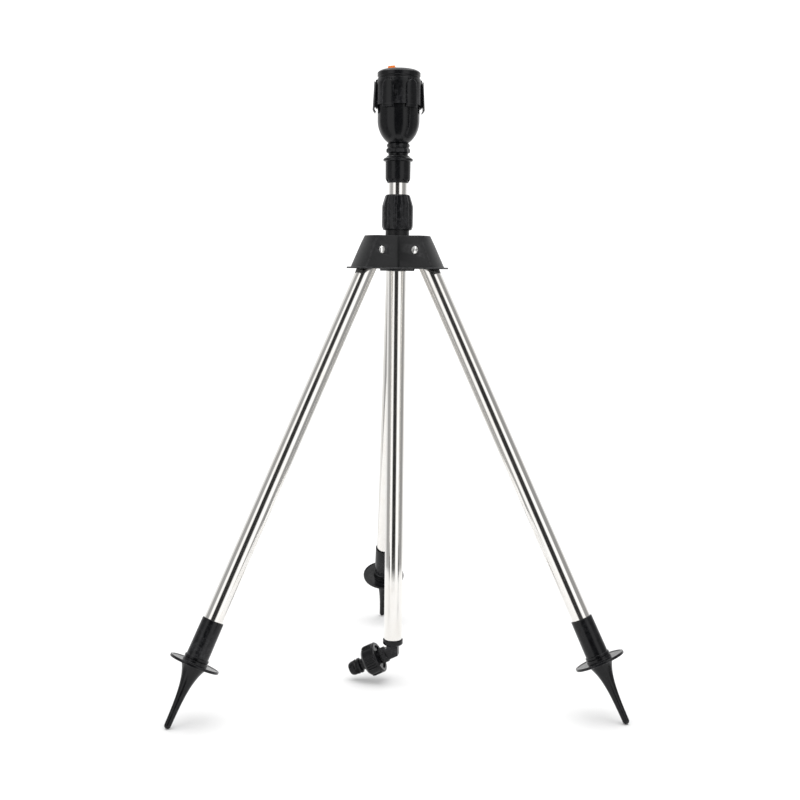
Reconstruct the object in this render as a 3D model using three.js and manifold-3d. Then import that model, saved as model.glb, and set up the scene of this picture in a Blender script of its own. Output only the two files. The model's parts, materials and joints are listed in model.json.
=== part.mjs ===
// Tripod garden sprinkler: three folding legs on a moulded hub, a riser clamped in the hub by a
// collet nut, a hose connector at the riser's foot and a gear-driven rotating head on top.
// Millimetres, +Z up, with the origin on the ground at the centre of the footprint.
import * as THREE from "three";
import { mergeVertices } from "three/addons/utils/BufferGeometryUtils.js";
import Module from "manifold-3d";

const wasm = await Module();
wasm.setup();

// ---------------------------------------------------------------- driving dimensions

const GAP = 0.3; // clearance between pieces that touch or slide
const DEG = Math.PI / 180;
const SIDES = 24; // sides of a round piece
const SMALL_SIDES = 14; // sides of a small or hidden round piece

const LEG_AZIMUTHS = { rear: 90, left: 210, right: 330 };
const SPLAY = 26.66 * DEG;
const PIVOT_RADIUS = 27.4;
const PIVOT_TO_TIP = 517.3;
const TUBE_DIAMETER = 19;
const TUBE_WALL = 0.9;
const TUBE_RADIUS = TUBE_DIAMETER / 2;
const BORE_RADIUS = TUBE_RADIUS + GAP; // anything the tube passes through

const HUB_TOP = 14.7; // heights above the pivots
const HUB_BOTTOM = -19.3;
const ARM_WALL = 1.9;
const ARM_ROOF = 3;
const ARM_CORNER = 1.6;
const TOP_CHEEK = 3.55; // thickness of an arm's side beside its leg slot
const BOTTOM_CHEEK = 5.7;
const TOP_REACH = 7.3; // an arm's top end beyond its pivot
const LEG_CLEARANCE = 0.8; // between a leg and the outer wall of its slot
const VALLEY_FLAT = 2; // setback of the flat in each inner corner between two arms
const FLANGE_LIP = { side: 2, end: 3.4, thickness: 1.8 };
const NECK_WALL = 2.9;
const NECK_HEIGHT = 21.3;
const SLOT_BACK = 4.9; // slot behind the leg's eye

const SCREW_SHANK = 4;
const SCREW_HEAD = 7.4;
const SCREW_HEAD_HEIGHT = 2.1;
const SCREW_SPOT_DEPTH = 0.6; // depth of the flat under a screw's head
const SCREW_END = 1.1; // shank beyond the far seat

const TONGUE_THICKNESS = 15;
const KNUCKLE_COLLAR_START = 11.5;
const KNUCKLE_COLLAR_LENGTH = 2.5;
const PLUG_LENGTH = 26;

const DISC_DIAMETER = 50.4;
const DISC_THICKNESS = 2.2;
const SPIKE_LENGTH = 67.5; // top of the disc to the tip
const SPIKE_ROOT = 13.6;
const SPIKE_SHANK = 3.1;
const SPIKE_FALL = 16; // length over which the trumpet narrows
const SLEEVE_WALL = 1.2;
const SLEEVE_LENGTH = 44;
const SLEEVE_RING = { stand: 1.3, height: 6 };
const TUBE_INTO_DISC = 4; // the tube stops this far above the disc

const NUT_RIDE = 5.8; // clear neck between the hub and the clamp nut
const NUT_HEIGHT = 36.2;
const NUT_CONE = 9.5;
const NUT_WALL = 2.15;
const NUT_TOP_WALL = 2.1;
const NUT_RIBS = 14;
const NUT_RIB_HEIGHT = 0.8;
const NUT_RIB_RADIUS = 1.6;
const COLLET_HEIGHT = 11;
const COLLET_SLIT = 1.6;
const CLAMP_WASHER_HEIGHT = 1.4;

const RISER_BOTTOM = 44.4;
const RISER_SHOWING = 12; // bare tube between the clamp nut and the coupling
const COUPLING_WALL = 3.2;
const COUPLING_HEIGHT = 22;
const COUPLING_FLANGE = { stand: 2.3, height: 5.6 };

const NECK_HEX = 24.8; // across corners
const NECK_LENGTH = 13.4;
const NECK_SPIGOT = 7.2;

const BOWL_DIAMETER = 43;
const BOWL_WALL = 2.2;
const BOWL_DEPTH = 22.6; // from the foot of the bowl to its widest circle
const BOWL_SEMI_HEIGHT = 26.2; // vertical semi-axis of its ellipsoid
const BOWL_HEIGHT = 56;

const COLLAR_TOP_STAND = 1.6; // collar beyond the bowl at its top and bottom
const COLLAR_BOTTOM_STAND = 2.2;
const COLLAR_HEIGHT = 30;
const COLLAR_RISE = 8; // collar's top above the bowl's rim
const COLLAR_LIP = 2.7;
const TAB_COUNT = 6; // two of them are wings that hang below the skirt
const WING_OVERHANG = 4.3;
const TAB_HALF_ANGLE = 15 * DEG;
const TAB_STAND = 0.9; // gap behind a tab
const WING_FLARE = 1; // extra gap behind a wing at its bottom
const TAB_THICKNESS = 1.3;
const NOTCH_HALF_ANGLE = 13.5 * DEG;
const NOTCH_HEIGHT = 3.2;

const CAP_HEIGHT = 9.2;
const CAP_ROOF = 2.6;
const NOZZLE_AZIMUTH = 225 * DEG;
const NOZZLE_DIAMETER = 7.6;
const NOZZLE_WALL = 1.6;
const NOZZLE_TILT = 12 * DEG;
const NOZZLE_STAND = 2.6;

const PINION_TEETH = 8;
const IDLER_TEETH = 24;
const IDLER_PINION_TEETH = 9;
const RING_TEETH = 36;
const RING_WALL = 2.3;
const WHEEL_CLEARANCE = 0.66; // between the idler's wheel and the bowl
const AXLE_RADIUS = 1.1;
const ADDENDUM = 0.8; // tooth sizes in modules
const DEDENDUM = 1.15;

const ELBOW_HEIGHT = 34.8;
const ELBOW_WIDTH = 12.2;
const INLET_AZIMUTH = 168 * DEG;
const INLET_FALL = 27 * DEG; // slope of the connector below level
const UNION_START = 15.5;
const UNION_LENGTH = 16.8;
const UNION_THREAD_RADIUS = 12.9;
const UNION_WALL = 3.85;
const UNION_RIB_GROUPS = 4;
const UNION_RIBS = 5;
const UNION_RIB_PITCH = 11 * DEG;
const UNION_THREAD_LENGTH = 6.4;
const NIPPLE_DIAMETER = 16;
const NIPPLE_WALL = 3.4;
const NIPPLE_REACH = 51.6;

// ---------------------------------------------------------------- derived sizes and levels

const WATERWAY = NIPPLE_DIAMETER / 2 - NIPPLE_WALL;
const NECK_RADIUS = BORE_RADIUS + NECK_WALL;
const SLEEVE_RADIUS = BORE_RADIUS + SLEEVE_WALL;
const COUPLING_RADIUS = BORE_RADIUS + COUPLING_WALL;
const BOWL_RADIUS = BOWL_DIAMETER / 2;
const BOWL_BORE = BOWL_RADIUS - BOWL_WALL;
const COLLAR_TOP_RADIUS = BOWL_RADIUS + COLLAR_TOP_STAND;
const COLLAR_BOTTOM_RADIUS = BOWL_RADIUS + COLLAR_BOTTOM_STAND;
const CAP_RADIUS = COLLAR_TOP_RADIUS - 1;
// The idler's wheel reaches just inside the bowl, which sets how far out its post stands.
const DRIVE_TEETH = PINION_TEETH + IDLER_TEETH;
const CENTRE_DISTANCE = (BOWL_BORE - WHEEL_CLEARANCE) / (1 + (IDLER_TEETH + 2 * ADDENDUM) / DRIVE_TEETH);
const DRIVE_MODULE = (2 * CENTRE_DISTANCE) / DRIVE_TEETH;
const RING_MODULE = (2 * CENTRE_DISTANCE) / (RING_TEETH - IDLER_PINION_TEETH);
const RING_OUTER = RING_MODULE * (RING_TEETH / 2 + DEDENDUM) + RING_WALL;
const SLOT_START = PIVOT_RADIUS - TONGUE_THICKNESS / 2 - SLOT_BACK;

const PIVOT_HEIGHT = (PIVOT_TO_TIP - SPIKE_SHANK) * Math.cos(SPLAY) + SPIKE_SHANK;
const HUB_TOP_Z = PIVOT_HEIGHT + HUB_TOP;
const NUT_BOTTOM_Z = HUB_TOP_Z + NUT_RIDE;
const NUT_TOP_Z = NUT_BOTTOM_Z + NUT_HEIGHT;
const COLLET_Z = HUB_TOP_Z + NECK_HEIGHT + GAP;
const CLAMP_WASHER_Z = COLLET_Z + COLLET_HEIGHT + GAP;
const COUPLING_Z = NUT_TOP_Z + RISER_SHOWING;
const FLANGE_Z = COUPLING_Z + COUPLING_HEIGHT;
const RISER_TOP = FLANGE_Z - 2;
const NECK_Z = FLANGE_Z + COUPLING_FLANGE.height;
const BOWL_Z = NECK_Z + NECK_LENGTH;
const BOWL_WIDEST_Z = BOWL_Z + BOWL_DEPTH;
const BOWL_RIM_Z = BOWL_Z + BOWL_HEIGHT;
const CAVITY_FLOOR = BOWL_Z + 7 + GAP;
const STATOR_Z = BOWL_Z + 12;
const GEAR_PLATE_Z = BOWL_Z + 19.2;
const GEAR_Z = GEAR_PLATE_Z + 2.6;
const COLLAR_TOP_Z = BOWL_RIM_Z + COLLAR_RISE;
const COLLAR_BOTTOM_Z = COLLAR_TOP_Z - COLLAR_HEIGHT;
const CAP_Z = COLLAR_TOP_Z + GAP;
const CAP_TOP_Z = CAP_Z + CAP_HEIGHT;
const TURRET_FLANGE = { radius: BOWL_RADIUS - 0.6, low: BOWL_RIM_Z + 1.6, high: BOWL_RIM_Z + 4.9 };
const DISC_START = PIVOT_TO_TIP - SPIKE_LENGTH;

// ---------------------------------------------------------------- geometry helpers

// A closed geometry as a solid that can be joined and cut.
function solidOf(geometry) {
  const plain = geometry.clone();
  plain.deleteAttribute("normal");
  plain.deleteAttribute("uv");
  const merged = mergeVertices(plain, 1e-4);
  return new wasm.Manifold(
    new wasm.Mesh({
      numProp: 3,
      vertProperties: new Float32Array(merged.attributes.position.array),
      triVerts: new Uint32Array(merged.index.array),
    }),
  );
}

// A solid back as a flat-shaded geometry.
function geometryOf(solid) {
  const { vertProperties, triVerts } = solid.getMesh();
  const indexed = new THREE.BufferGeometry();
  indexed.setAttribute("position", new THREE.BufferAttribute(vertProperties, 3));
  indexed.setIndex(new THREE.BufferAttribute(triVerts, 1));
  const flat = indexed.toNonIndexed();
  flat.computeVertexNormals();
  return flat;
}

function joined(solids) {
  return solids.reduce((sum, next) => sum.add(next));
}

// A profile of [radius, height] pairs turned about Z. It closes on itself, or starts and ends on the axis.
function turned(profile, segments = SIDES) {
  const closed = profile[0][0] > 0;
  const loop = closed ? [...profile, profile[0]] : profile;
  const area = profile.reduce((sum, [r, z], i) => {
    const [r2, z2] = profile[(i + 1) % profile.length];
    return sum + r * z2 - r2 * z;
  }, 0);
  const ordered = area > 0 ? loop : [...loop].reverse();
  const points = ordered.map(([r, z]) => new THREE.Vector2(r, z));
  return new THREE.LatheGeometry(points, segments).rotateX(Math.PI / 2);
}

function ring(inner, outer, low, high, segments) {
  return turned([[inner, low], [outer, low], [outer, high], [inner, high]], segments);
}

function rod(radius, low, high, segments) {
  return turned([[0, low], [radius, low], [radius, high], [0, high]], segments);
}

// A plane outline of THREE.Vector2 points pulled up along Z.
function pulled(outline, low, high, holes = []) {
  const shape = new THREE.Shape(outline);
  shape.holes = holes.map((hole) => new THREE.Path(hole));
  return new THREE.ExtrudeGeometry(shape, { depth: high - low, bevelEnabled: false }).translate(0, 0, low);
}

// A block whose outline changes from one plane outline to another of as many points.
function lofted(lower, upper, low, high) {
  const count = lower.length;
  const corners = [...lower.map((p) => [p.x, p.y, low]), ...upper.map((p) => [p.x, p.y, high])];
  const faces = [];
  for (let i = 0; i < count; i++) {
    const next = (i + 1) % count;
    faces.push([i, next, count + next], [i, count + next, count + i]);
  }
  for (const [a, b, c] of THREE.ShapeUtils.triangulateShape(lower, [])) faces.push([c, b, a]);
  for (const [a, b, c] of THREE.ShapeUtils.triangulateShape(upper, [])) {
    faces.push([count + a, count + b, count + c]);
  }
  const geometry = new THREE.BufferGeometry();
  geometry.setAttribute("position", new THREE.Float32BufferAttribute(corners.flat(), 3));
  geometry.setIndex(faces.flat());
  return geometry;
}

function polar(radius, angle) {
  return new THREE.Vector2(radius * Math.cos(angle), radius * Math.sin(angle));
}

function circle(radius, segments) {
  return Array.from({ length: segments }, (_, i) => polar(radius, (i / segments) * 2 * Math.PI));
}

// The outline of a toothed wheel. The shares are half widths at root and tip, as parts of one tooth pitch.
function toothed(teeth, rootRadius, tipRadius, phase = 0, rootShare = 0.25, tipShare = 0.1) {
  const pitch = (2 * Math.PI) / teeth;
  return Array.from({ length: teeth }, (_, i) => {
    const middle = phase + i * pitch;
    return [
      polar(rootRadius, middle - rootShare * pitch),
      polar(tipRadius, middle - tipShare * pitch),
      polar(tipRadius, middle + tipShare * pitch),
      polar(rootRadius, middle + rootShare * pitch),
    ];
  }).flat();
}

function around(count, make) {
  return Array.from({ length: count }, (_, i) => make((i * 2 * Math.PI) / count));
}

// A wedge of a disc centred on an azimuth, used to keep or cut a part of a ring.
function wedge(azimuth, halfAngle, reach, low, high) {
  const far = reach / Math.cos(halfAngle);
  const outline = [new THREE.Vector2(), polar(far, azimuth - halfAngle), polar(far, azimuth + halfAngle)];
  return solidOf(pulled(outline, low, high));
}

// ---------------------------------------------------------------- materials and nodes

const FINISHES = {
  housing: { color: 0x17181a, roughness: 0.5, metalness: 0 },
  moulding: { color: 0x121315, roughness: 0.32, metalness: 0 },
  stainless: { color: 0xc9c7c2, roughness: 0.12, metalness: 1 },
  screw_steel: { color: 0xd4d4d2, roughness: 0.22, metalness: 1 },
  rubber: { color: 0x0c0c0d, roughness: 0.8, metalness: 0 },
  nozzle_orange: { color: 0xf07a18, roughness: 0.38, metalness: 0 },
  gear_white: { color: 0xdedbd2, roughness: 0.45, metalness: 0 },
};

function node(parent, name, geometry, finish) {
  const mesh = new THREE.Mesh(geometry, new THREE.MeshStandardMaterial(FINISHES[finish]));
  mesh.name = name;
  parent.add(mesh);
}

// ---------------------------------------------------------------- hub

// Distance from the axis of the outermost line of a leg at a height above the pivots.
function legReach(z) {
  return PIVOT_RADIUS + (TUBE_RADIUS - z * Math.sin(SPLAY)) / Math.cos(SPLAY);
}

const ARM_TOP = { halfWidth: BORE_RADIUS + TOP_CHEEK, end: PIVOT_RADIUS + TOP_REACH };
const ARM_BOTTOM = {
  halfWidth: BORE_RADIUS + BOTTOM_CHEEK,
  end: legReach(HUB_BOTTOM) + LEG_CLEARANCE + ARM_WALL,
};

// Half width and outer radius of an arm at a height above the pivots.
function armAt(z) {
  const share = (HUB_TOP - z) / (HUB_TOP - HUB_BOTTOM);
  return {
    halfWidth: ARM_TOP.halfWidth + share * (ARM_BOTTOM.halfWidth - ARM_TOP.halfWidth),
    end: ARM_TOP.end + share * (ARM_BOTTOM.end - ARM_TOP.end),
  };
}

// The Y-shaped outline of three arms, each with straight sides and an end that is an arc about the axis.
function armsOutline({ halfWidth, end }) {
  const start = halfWidth / Math.tan(60 * DEG) + VALLEY_FLAT;
  const sweep = Math.asin(halfWidth / end);
  const bevel = ARM_CORNER / end;
  const side = (hand) => [
    new THREE.Vector2(start, hand * halfWidth),
    new THREE.Vector2(end * Math.cos(sweep) - ARM_CORNER, hand * halfWidth),
  ];
  const tip = [-1, -0.6, -0.2, 0.2, 0.6, 1].map((share) => polar(end, share * (sweep - bevel)));
  const arm = [...side(-1), ...tip, ...side(1).reverse()];
  return Object.values(LEG_AZIMUTHS).flatMap((azimuth) =>
    arm.map((point) => point.clone().rotateAround(new THREE.Vector2(), azimuth * DEG)),
  );
}

// A cylinder along the Y axis.
function crossRod(radius, from, to, segments = SMALL_SIDES) {
  return rod(radius, from, to, segments).rotateX(-Math.PI / 2);
}

const SCREW_SEAT = armAt(0).halfWidth - SCREW_SPOT_DEPTH; // from the middle of an arm
const SCREW_REACH = ARM_BOTTOM.halfWidth + 4;

function hubHousing() {
  const shell = solidOf(lofted(armsOutline(ARM_BOTTOM), armsOutline(ARM_TOP), HUB_BOTTOM, HUB_TOP));
  const lip = armsOutline({
    halfWidth: ARM_BOTTOM.halfWidth + FLANGE_LIP.side,
    end: ARM_BOTTOM.end + FLANGE_LIP.end,
  });
  const flange = solidOf(pulled(lip, HUB_BOTTOM, HUB_BOTTOM + FLANGE_LIP.thickness));
  const neck = solidOf(rod(NECK_RADIUS, HUB_TOP - 1, HUB_TOP + NECK_HEIGHT));
  const bore = solidOf(rod(BORE_RADIUS, HUB_BOTTOM - 1, HUB_TOP + NECK_HEIGHT + 1));
  const roof = HUB_TOP - ARM_ROOF;
  const under = HUB_BOTTOM - 1;
  const within = (z) => armAt(z).end - ARM_WALL;
  const cone = solidOf(turned([[0, under], [within(under), under], [within(roof), roof], [0, roof]]));
  const box = new THREE.BoxGeometry(2 * ARM_BOTTOM.end, 2 * BORE_RADIUS, 4 * HUB_TOP);
  const slot = cone.intersect(solidOf(box.translate(SLOT_START + ARM_BOTTOM.end, 0, 0)));
  const spot = SCREW_HEAD / 2 + 2 * GAP;
  const hole = solidOf(crossRod(SCREW_SHANK / 2 + GAP, -SCREW_REACH, SCREW_REACH));
  const headSpot = solidOf(crossRod(spot, -SCREW_REACH, -SCREW_SEAT));
  const nutSpot = solidOf(crossRod(spot, SCREW_SEAT, SCREW_REACH));
  const screwCuts = joined([hole, headSpot, nutSpot]).translate([PIVOT_RADIUS, 0, 0]);
  const cuts = slot.add(screwCuts);
  let housing = joined([shell, flange, neck]).subtract(bore);
  for (const azimuth of Object.values(LEG_AZIMUTHS)) {
    housing = housing.subtract(cuts.rotate([0, 0, azimuth]));
  }
  return geometryOf(housing);
}

// The rounded head shared by the pivot screws and nuts, as a profile outwards from its seat.
function domedHead(seat) {
  const head = SCREW_HEAD / 2;
  return [
    [head, seat],
    [head, seat + SCREW_HEAD_HEIGHT * 0.45],
    [head * 0.8, seat + SCREW_HEAD_HEIGHT * 0.85],
    [head * 0.4, seat + SCREW_HEAD_HEIGHT],
    [0, seat + SCREW_HEAD_HEIGHT],
  ];
}

// The pivot screw lies along Y, with its slotted pan head on the -Y side of the arm.
function pivotScrew() {
  const seat = SCREW_SEAT + GAP;
  const tip = -SCREW_SEAT - SCREW_END;
  const shank = SCREW_SHANK / 2;
  const profile = [[0, tip], [shank, tip], [shank, seat], ...domedHead(seat)];
  const slot = new THREE.BoxGeometry(SCREW_HEAD + 1, 1.1, 2).translate(0, 0, seat + SCREW_HEAD_HEIGHT);
  const screw = solidOf(turned(profile, SMALL_SIDES)).subtract(solidOf(slot));
  return geometryOf(screw).rotateX(Math.PI / 2);
}

// The domed nut closes the screw's other end, on the +Y side of the arm.
function pivotNut() {
  const seat = SCREW_SEAT + GAP;
  const hole = SCREW_SHANK / 2 + GAP;
  const floor = SCREW_SEAT + SCREW_END + GAP;
  const profile = [[0, floor], [hole, floor], [hole, seat], ...domedHead(seat)];
  return turned(profile, SMALL_SIDES).rotateX(-Math.PI / 2);
}

// ---------------------------------------------------------------- legs, hanging along -Z from the pivot

function legKnuckle() {
  const bar = solidOf(rod(TUBE_RADIUS, -KNUCKLE_COLLAR_START - 1, 0));
  const flats = solidOf(new THREE.BoxGeometry(TONGUE_THICKNESS, 4 * TUBE_RADIUS, 80));
  const eye = solidOf(crossRod(TONGUE_THICKNESS / 2, -TUBE_RADIUS, TUBE_RADIUS, SIDES));
  const collarEnd = KNUCKLE_COLLAR_START + KNUCKLE_COLLAR_LENGTH;
  const plugRadius = TUBE_RADIUS - TUBE_WALL - GAP;
  const plug = solidOf(rod(plugRadius, -collarEnd - PLUG_LENGTH, -collarEnd + 1));
  const collar = solidOf(rod(TUBE_RADIUS, -collarEnd, -KNUCKLE_COLLAR_START));
  const hole = solidOf(crossRod(SCREW_SHANK / 2 + GAP, -BORE_RADIUS - 1, BORE_RADIUS + 1));
  return geometryOf(joined([bar.intersect(flats), eye, plug, collar]).subtract(hole));
}

function legTube() {
  const top = -(KNUCKLE_COLLAR_START + KNUCKLE_COLLAR_LENGTH + GAP);
  return ring(TUBE_RADIUS - TUBE_WALL, TUBE_RADIUS, TUBE_INTO_DISC - DISC_START, top);
}

// Sleeve, tread disc and trumpet-shaped ground spike in one moulding.
function foot() {
  const ringTop = DISC_START - SLEEVE_RING.height;
  const seat = DISC_START - TUBE_INTO_DISC + GAP;
  const sleeve = SLEEVE_RADIUS;
  const ringRadius = SLEEVE_RADIUS + SLEEVE_RING.stand;
  const disc = DISC_DIAMETER / 2;
  const spikeStart = DISC_START + DISC_THICKNESS;
  const bend = PIVOT_TO_TIP - SPIKE_SHANK;
  const outline = [
    [0, seat],
    [BORE_RADIUS, seat],
    [BORE_RADIUS, DISC_START - SLEEVE_LENGTH],
    [sleeve - 0.5, DISC_START - SLEEVE_LENGTH],
    [sleeve, DISC_START - SLEEVE_LENGTH + 0.6],
    [sleeve, ringTop],
    [ringRadius, ringTop + 0.5],
    [ringRadius, DISC_START],
    [disc - 0.6, DISC_START],
    [disc, DISC_START + 0.5],
    [disc, spikeStart - 0.4],
    [disc - 0.6, spikeStart],
  ];
  const steps = 7;
  for (let i = 0; i <= steps; i++) {
    const s = ((bend - spikeStart) * i) / steps;
    const radius = SPIKE_SHANK + (SPIKE_ROOT - SPIKE_SHANK) * Math.exp(-s / SPIKE_FALL);
    outline.push([i === steps ? SPIKE_SHANK : radius, spikeStart + s]);
  }
  for (const angle of [30, 60]) {
    const swing = polar(SPIKE_SHANK, angle * DEG);
    outline.push([swing.x, bend + swing.y]);
  }
  outline.push([0, PIVOT_TO_TIP]);
  return turned(outline.map(([r, along]) => [r, -along]), 20);
}

// ---------------------------------------------------------------- clamp on the hub's neck

function collet() {
  const low = COLLET_Z;
  const high = low + COLLET_HEIGHT;
  const outer = NECK_RADIUS - GAP;
  const body = solidOf(
    turned([
      [BORE_RADIUS, low],
      [outer, low],
      [outer, low + COLLET_HEIGHT * 0.45],
      [BORE_RADIUS + 0.9, high],
      [BORE_RADIUS, high],
    ]),
  );
  const reach = 2 * NECK_RADIUS;
  const slit = new THREE.BoxGeometry(reach, COLLET_SLIT, COLLET_HEIGHT + 2);
  slit.translate(reach / 2, 0, (low + high) / 2);
  return geometryOf(body.subtract(solidOf(slit)));
}

function clampWasher() {
  const high = CLAMP_WASHER_Z + CLAMP_WASHER_HEIGHT;
  return ring(BORE_RADIUS + 0.1, BORE_RADIUS + 1.3, CLAMP_WASHER_Z, high, SMALL_SIDES);
}

function clampNut() {
  const thread = NECK_RADIUS + GAP;
  const body = thread + NUT_WALL;
  const top = BORE_RADIUS + NUT_TOP_WALL;
  const coneZ = NUT_TOP_Z - NUT_CONE;
  const washerTop = CLAMP_WASHER_Z + CLAMP_WASHER_HEIGHT + GAP;
  const shell = solidOf(
    turned([
      [thread, NUT_BOTTOM_Z],
      [body, NUT_BOTTOM_Z],
      [body, coneZ],
      [top + 0.5, NUT_TOP_Z - 1],
      [top, NUT_TOP_Z],
      [BORE_RADIUS + 0.1, NUT_TOP_Z],
      [BORE_RADIUS + 0.1, washerTop],
      [BORE_RADIUS + 1.6, washerTop],
      [BORE_RADIUS + 1.6, CLAMP_WASHER_Z - 1],
      [thread, CLAMP_WASHER_Z - 6.5],
    ]),
  );
  const height = coneZ - NUT_BOTTOM_Z;
  const rib = new THREE.CylinderGeometry(NUT_RIB_RADIUS, NUT_RIB_RADIUS, height, 8).rotateX(Math.PI / 2);
  rib.translate(body + NUT_RIB_HEIGHT - NUT_RIB_RADIUS, 0, NUT_BOTTOM_Z + height / 2);
  const ribs = around(NUT_RIBS, (angle) => solidOf(rib.clone().rotateZ(angle)));
  return geometryOf(joined([shell, ...ribs]));
}

// ---------------------------------------------------------------- riser and its coupling

function riserTube() {
  return ring(TUBE_RADIUS - TUBE_WALL, TUBE_RADIUS, RISER_BOTTOM, RISER_TOP);
}

function riserCoupling() {
  const outer = COUPLING_RADIUS;
  const flange = COUPLING_RADIUS + COUPLING_FLANGE.stand;
  return turned([
    [BORE_RADIUS, COUPLING_Z],
    [outer - 2.3, COUPLING_Z],
    [outer, COUPLING_Z + 4],
    [outer, FLANGE_Z],
    [flange, FLANGE_Z + 0.5],
    [flange, FLANGE_Z + 2.6],
    [outer - 0.5, FLANGE_Z + 4.2],
    [outer - 1.6, NECK_Z],
    [NECK_SPIGOT + 1 + GAP, NECK_Z],
    [NECK_SPIGOT + 1 + GAP, FLANGE_Z],
    [BORE_RADIUS, FLANGE_Z],
  ]);
}

function couplingWasher() {
  return ring(TUBE_RADIUS - 3.3, TUBE_RADIUS, RISER_TOP + GAP, FLANGE_Z - GAP);
}

function neckAdapter() {
  const spigot = NECK_SPIGOT + 1;
  const base = NECK_Z + GAP;
  const top = BOWL_Z - GAP;
  const groove = base + (top - base) * 0.62;
  const corner = NECK_HEX / 2;
  const silhouette = solidOf(
    turned([
      [0, base],
      [corner - 2.4, base],
      [corner - 2.2, base + 2.2],
      [corner, base + 3.4],
      [corner, groove - 1.6],
      [corner - 1.4, groove],
      [corner - 0.4, groove + 1.6],
      [corner - 0.8, top - 1.4],
      [corner - 2, top],
      [0, top],
    ]),
  );
  const hex = solidOf(pulled(circle(corner, 6), base + 2.8, top));
  const round = solidOf(rod(corner - 1.7, base, top));
  const lower = solidOf(rod(spigot, FLANGE_Z + GAP, base + 1));
  const upper = solidOf(rod(NECK_SPIGOT, top - 1, BOWL_Z + 7));
  const way = solidOf(rod(WATERWAY, FLANGE_Z - 1, BOWL_Z + 8, SMALL_SIDES));
  return geometryOf(joined([silhouette.intersect(hex.add(round)), lower, upper]).subtract(way));
}

// ---------------------------------------------------------------- gear housing of the head

// Radius of the cavity's wall at a height: an ellipsoid below the widest circle, a cylinder above.
function ellipsoidRadius(z, wall) {
  const drop = Math.max(0, BOWL_WIDEST_Z - z) / (BOWL_SEMI_HEIGHT - wall);
  return (BOWL_RADIUS - wall) * Math.sqrt(Math.max(0, 1 - drop * drop));
}

function bowl() {
  const steps = 6;
  const outer = [];
  const inner = [];
  for (let i = 0; i <= steps; i++) {
    const swing = Math.sin((i / steps) * 90 * DEG);
    const z = BOWL_Z + BOWL_DEPTH * swing;
    outer.push([ellipsoidRadius(z, 0), z]);
    const z2 = CAVITY_FLOOR + (BOWL_WIDEST_Z - CAVITY_FLOOR) * swing;
    inner.unshift([ellipsoidRadius(z2, BOWL_WALL), z2]);
  }
  const socket = NECK_SPIGOT + GAP;
  return turned([
    [socket, BOWL_Z],
    ...outer,
    [BOWL_RADIUS, BOWL_RIM_Z],
    [BOWL_BORE, BOWL_RIM_Z],
    ...inner,
    [socket, CAVITY_FLOOR],
  ]);
}

function statorPlate() {
  const high = STATOR_Z + 2;
  const radius = ellipsoidRadius(STATOR_Z, BOWL_WALL) - GAP;
  const plate = solidOf(ring(AXLE_RADIUS + GAP, radius, STATOR_Z, high));
  const port = new THREE.BoxGeometry(5, 2.2, 8).translate(radius - 5, 0, STATOR_Z + 1);
  const ports = around(6, (angle) => solidOf(port.clone().rotateZ(angle)));
  return geometryOf(ports.reduce((left, cut) => left.subtract(cut), plate));
}

// An external gear's outline from its tooth count and module.
function gearOutline(teeth, module, phase) {
  const pitchRadius = (teeth * module) / 2;
  return toothed(teeth, pitchRadius - DEDENDUM * module, pitchRadius + ADDENDUM * module, phase);
}

function turbineAxle() {
  return rod(AXLE_RADIUS, CAVITY_FLOOR + 0.5, GEAR_Z + 4.6, 12);
}

// Turbine wheel below the gear plate, with the drive pinion above it.
function turbine() {
  const low = STATOR_Z + 2.6;
  const high = GEAR_PLATE_Z - 0.6;
  const reach = ellipsoidRadius(low, BOWL_WALL) - 2;
  const hub = solidOf(rod(4, low, high, SMALL_SIDES));
  const blade = new THREE.BoxGeometry(reach - 2, 1.2, high - low);
  blade.translate(1 + reach / 2, 0, (low + high) / 2);
  const blades = around(8, (angle) => solidOf(blade.clone().rotateZ(angle)));
  const pinionRoot = (PINION_TEETH * DRIVE_MODULE) / 2 - DEDENDUM * DRIVE_MODULE;
  const shaft = solidOf(rod(pinionRoot + 0.1, high - 0.5, GEAR_Z + 1, 12));
  const pinion = solidOf(pulled(gearOutline(PINION_TEETH, DRIVE_MODULE, 0), GEAR_Z, GEAR_Z + 3));
  const bore = solidOf(rod(AXLE_RADIUS + 0.1, low - 1, GEAR_Z + 5, 12));
  return geometryOf(joined([hub, ...blades, shaft, pinion]).subtract(bore));
}

// Plate with the idler's post, resting in the bowl above the turbine.
function gearPlate() {
  const high = GEAR_Z - GAP;
  const plate = solidOf(rod(ellipsoidRadius(GEAR_PLATE_Z, BOWL_WALL) - GAP - 0.2, GEAR_PLATE_Z, high));
  const post = solidOf(rod(AXLE_RADIUS, high - 1, GEAR_Z + 7.4, 12).translate(CENTRE_DISTANCE, 0, 0));
  const hole = solidOf(rod(2.5, GEAR_PLATE_Z - 1, high + 1, SMALL_SIDES));
  const ports = around(3, (angle) =>
    solidOf(rod(2.6, GEAR_PLATE_Z - 1, high + 1, 12).translate(5.15 - BOWL_BORE, 0, 0).rotateZ(angle)),
  );
  return geometryOf(ports.reduce((left, cut) => left.subtract(cut), plate.add(post).subtract(hole)));
}

// Two-step idler: the wheel meets the turbine's pinion, the small pinion meets the turret's ring.
function idlerGear() {
  const wheel = pulled(gearOutline(IDLER_TEETH, DRIVE_MODULE, Math.PI / IDLER_TEETH), GEAR_Z, GEAR_Z + 2.6);
  const small = pulled(gearOutline(IDLER_PINION_TEETH, RING_MODULE, 0), GEAR_Z + 2, GEAR_Z + 7);
  const bore = rod(AXLE_RADIUS + 0.1, GEAR_Z - 1, GEAR_Z + 8, 12);
  const gear = solidOf(wheel).add(solidOf(small)).subtract(solidOf(bore));
  return geometryOf(gear.translate([CENTRE_DISTANCE, 0, 0]));
}

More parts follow.
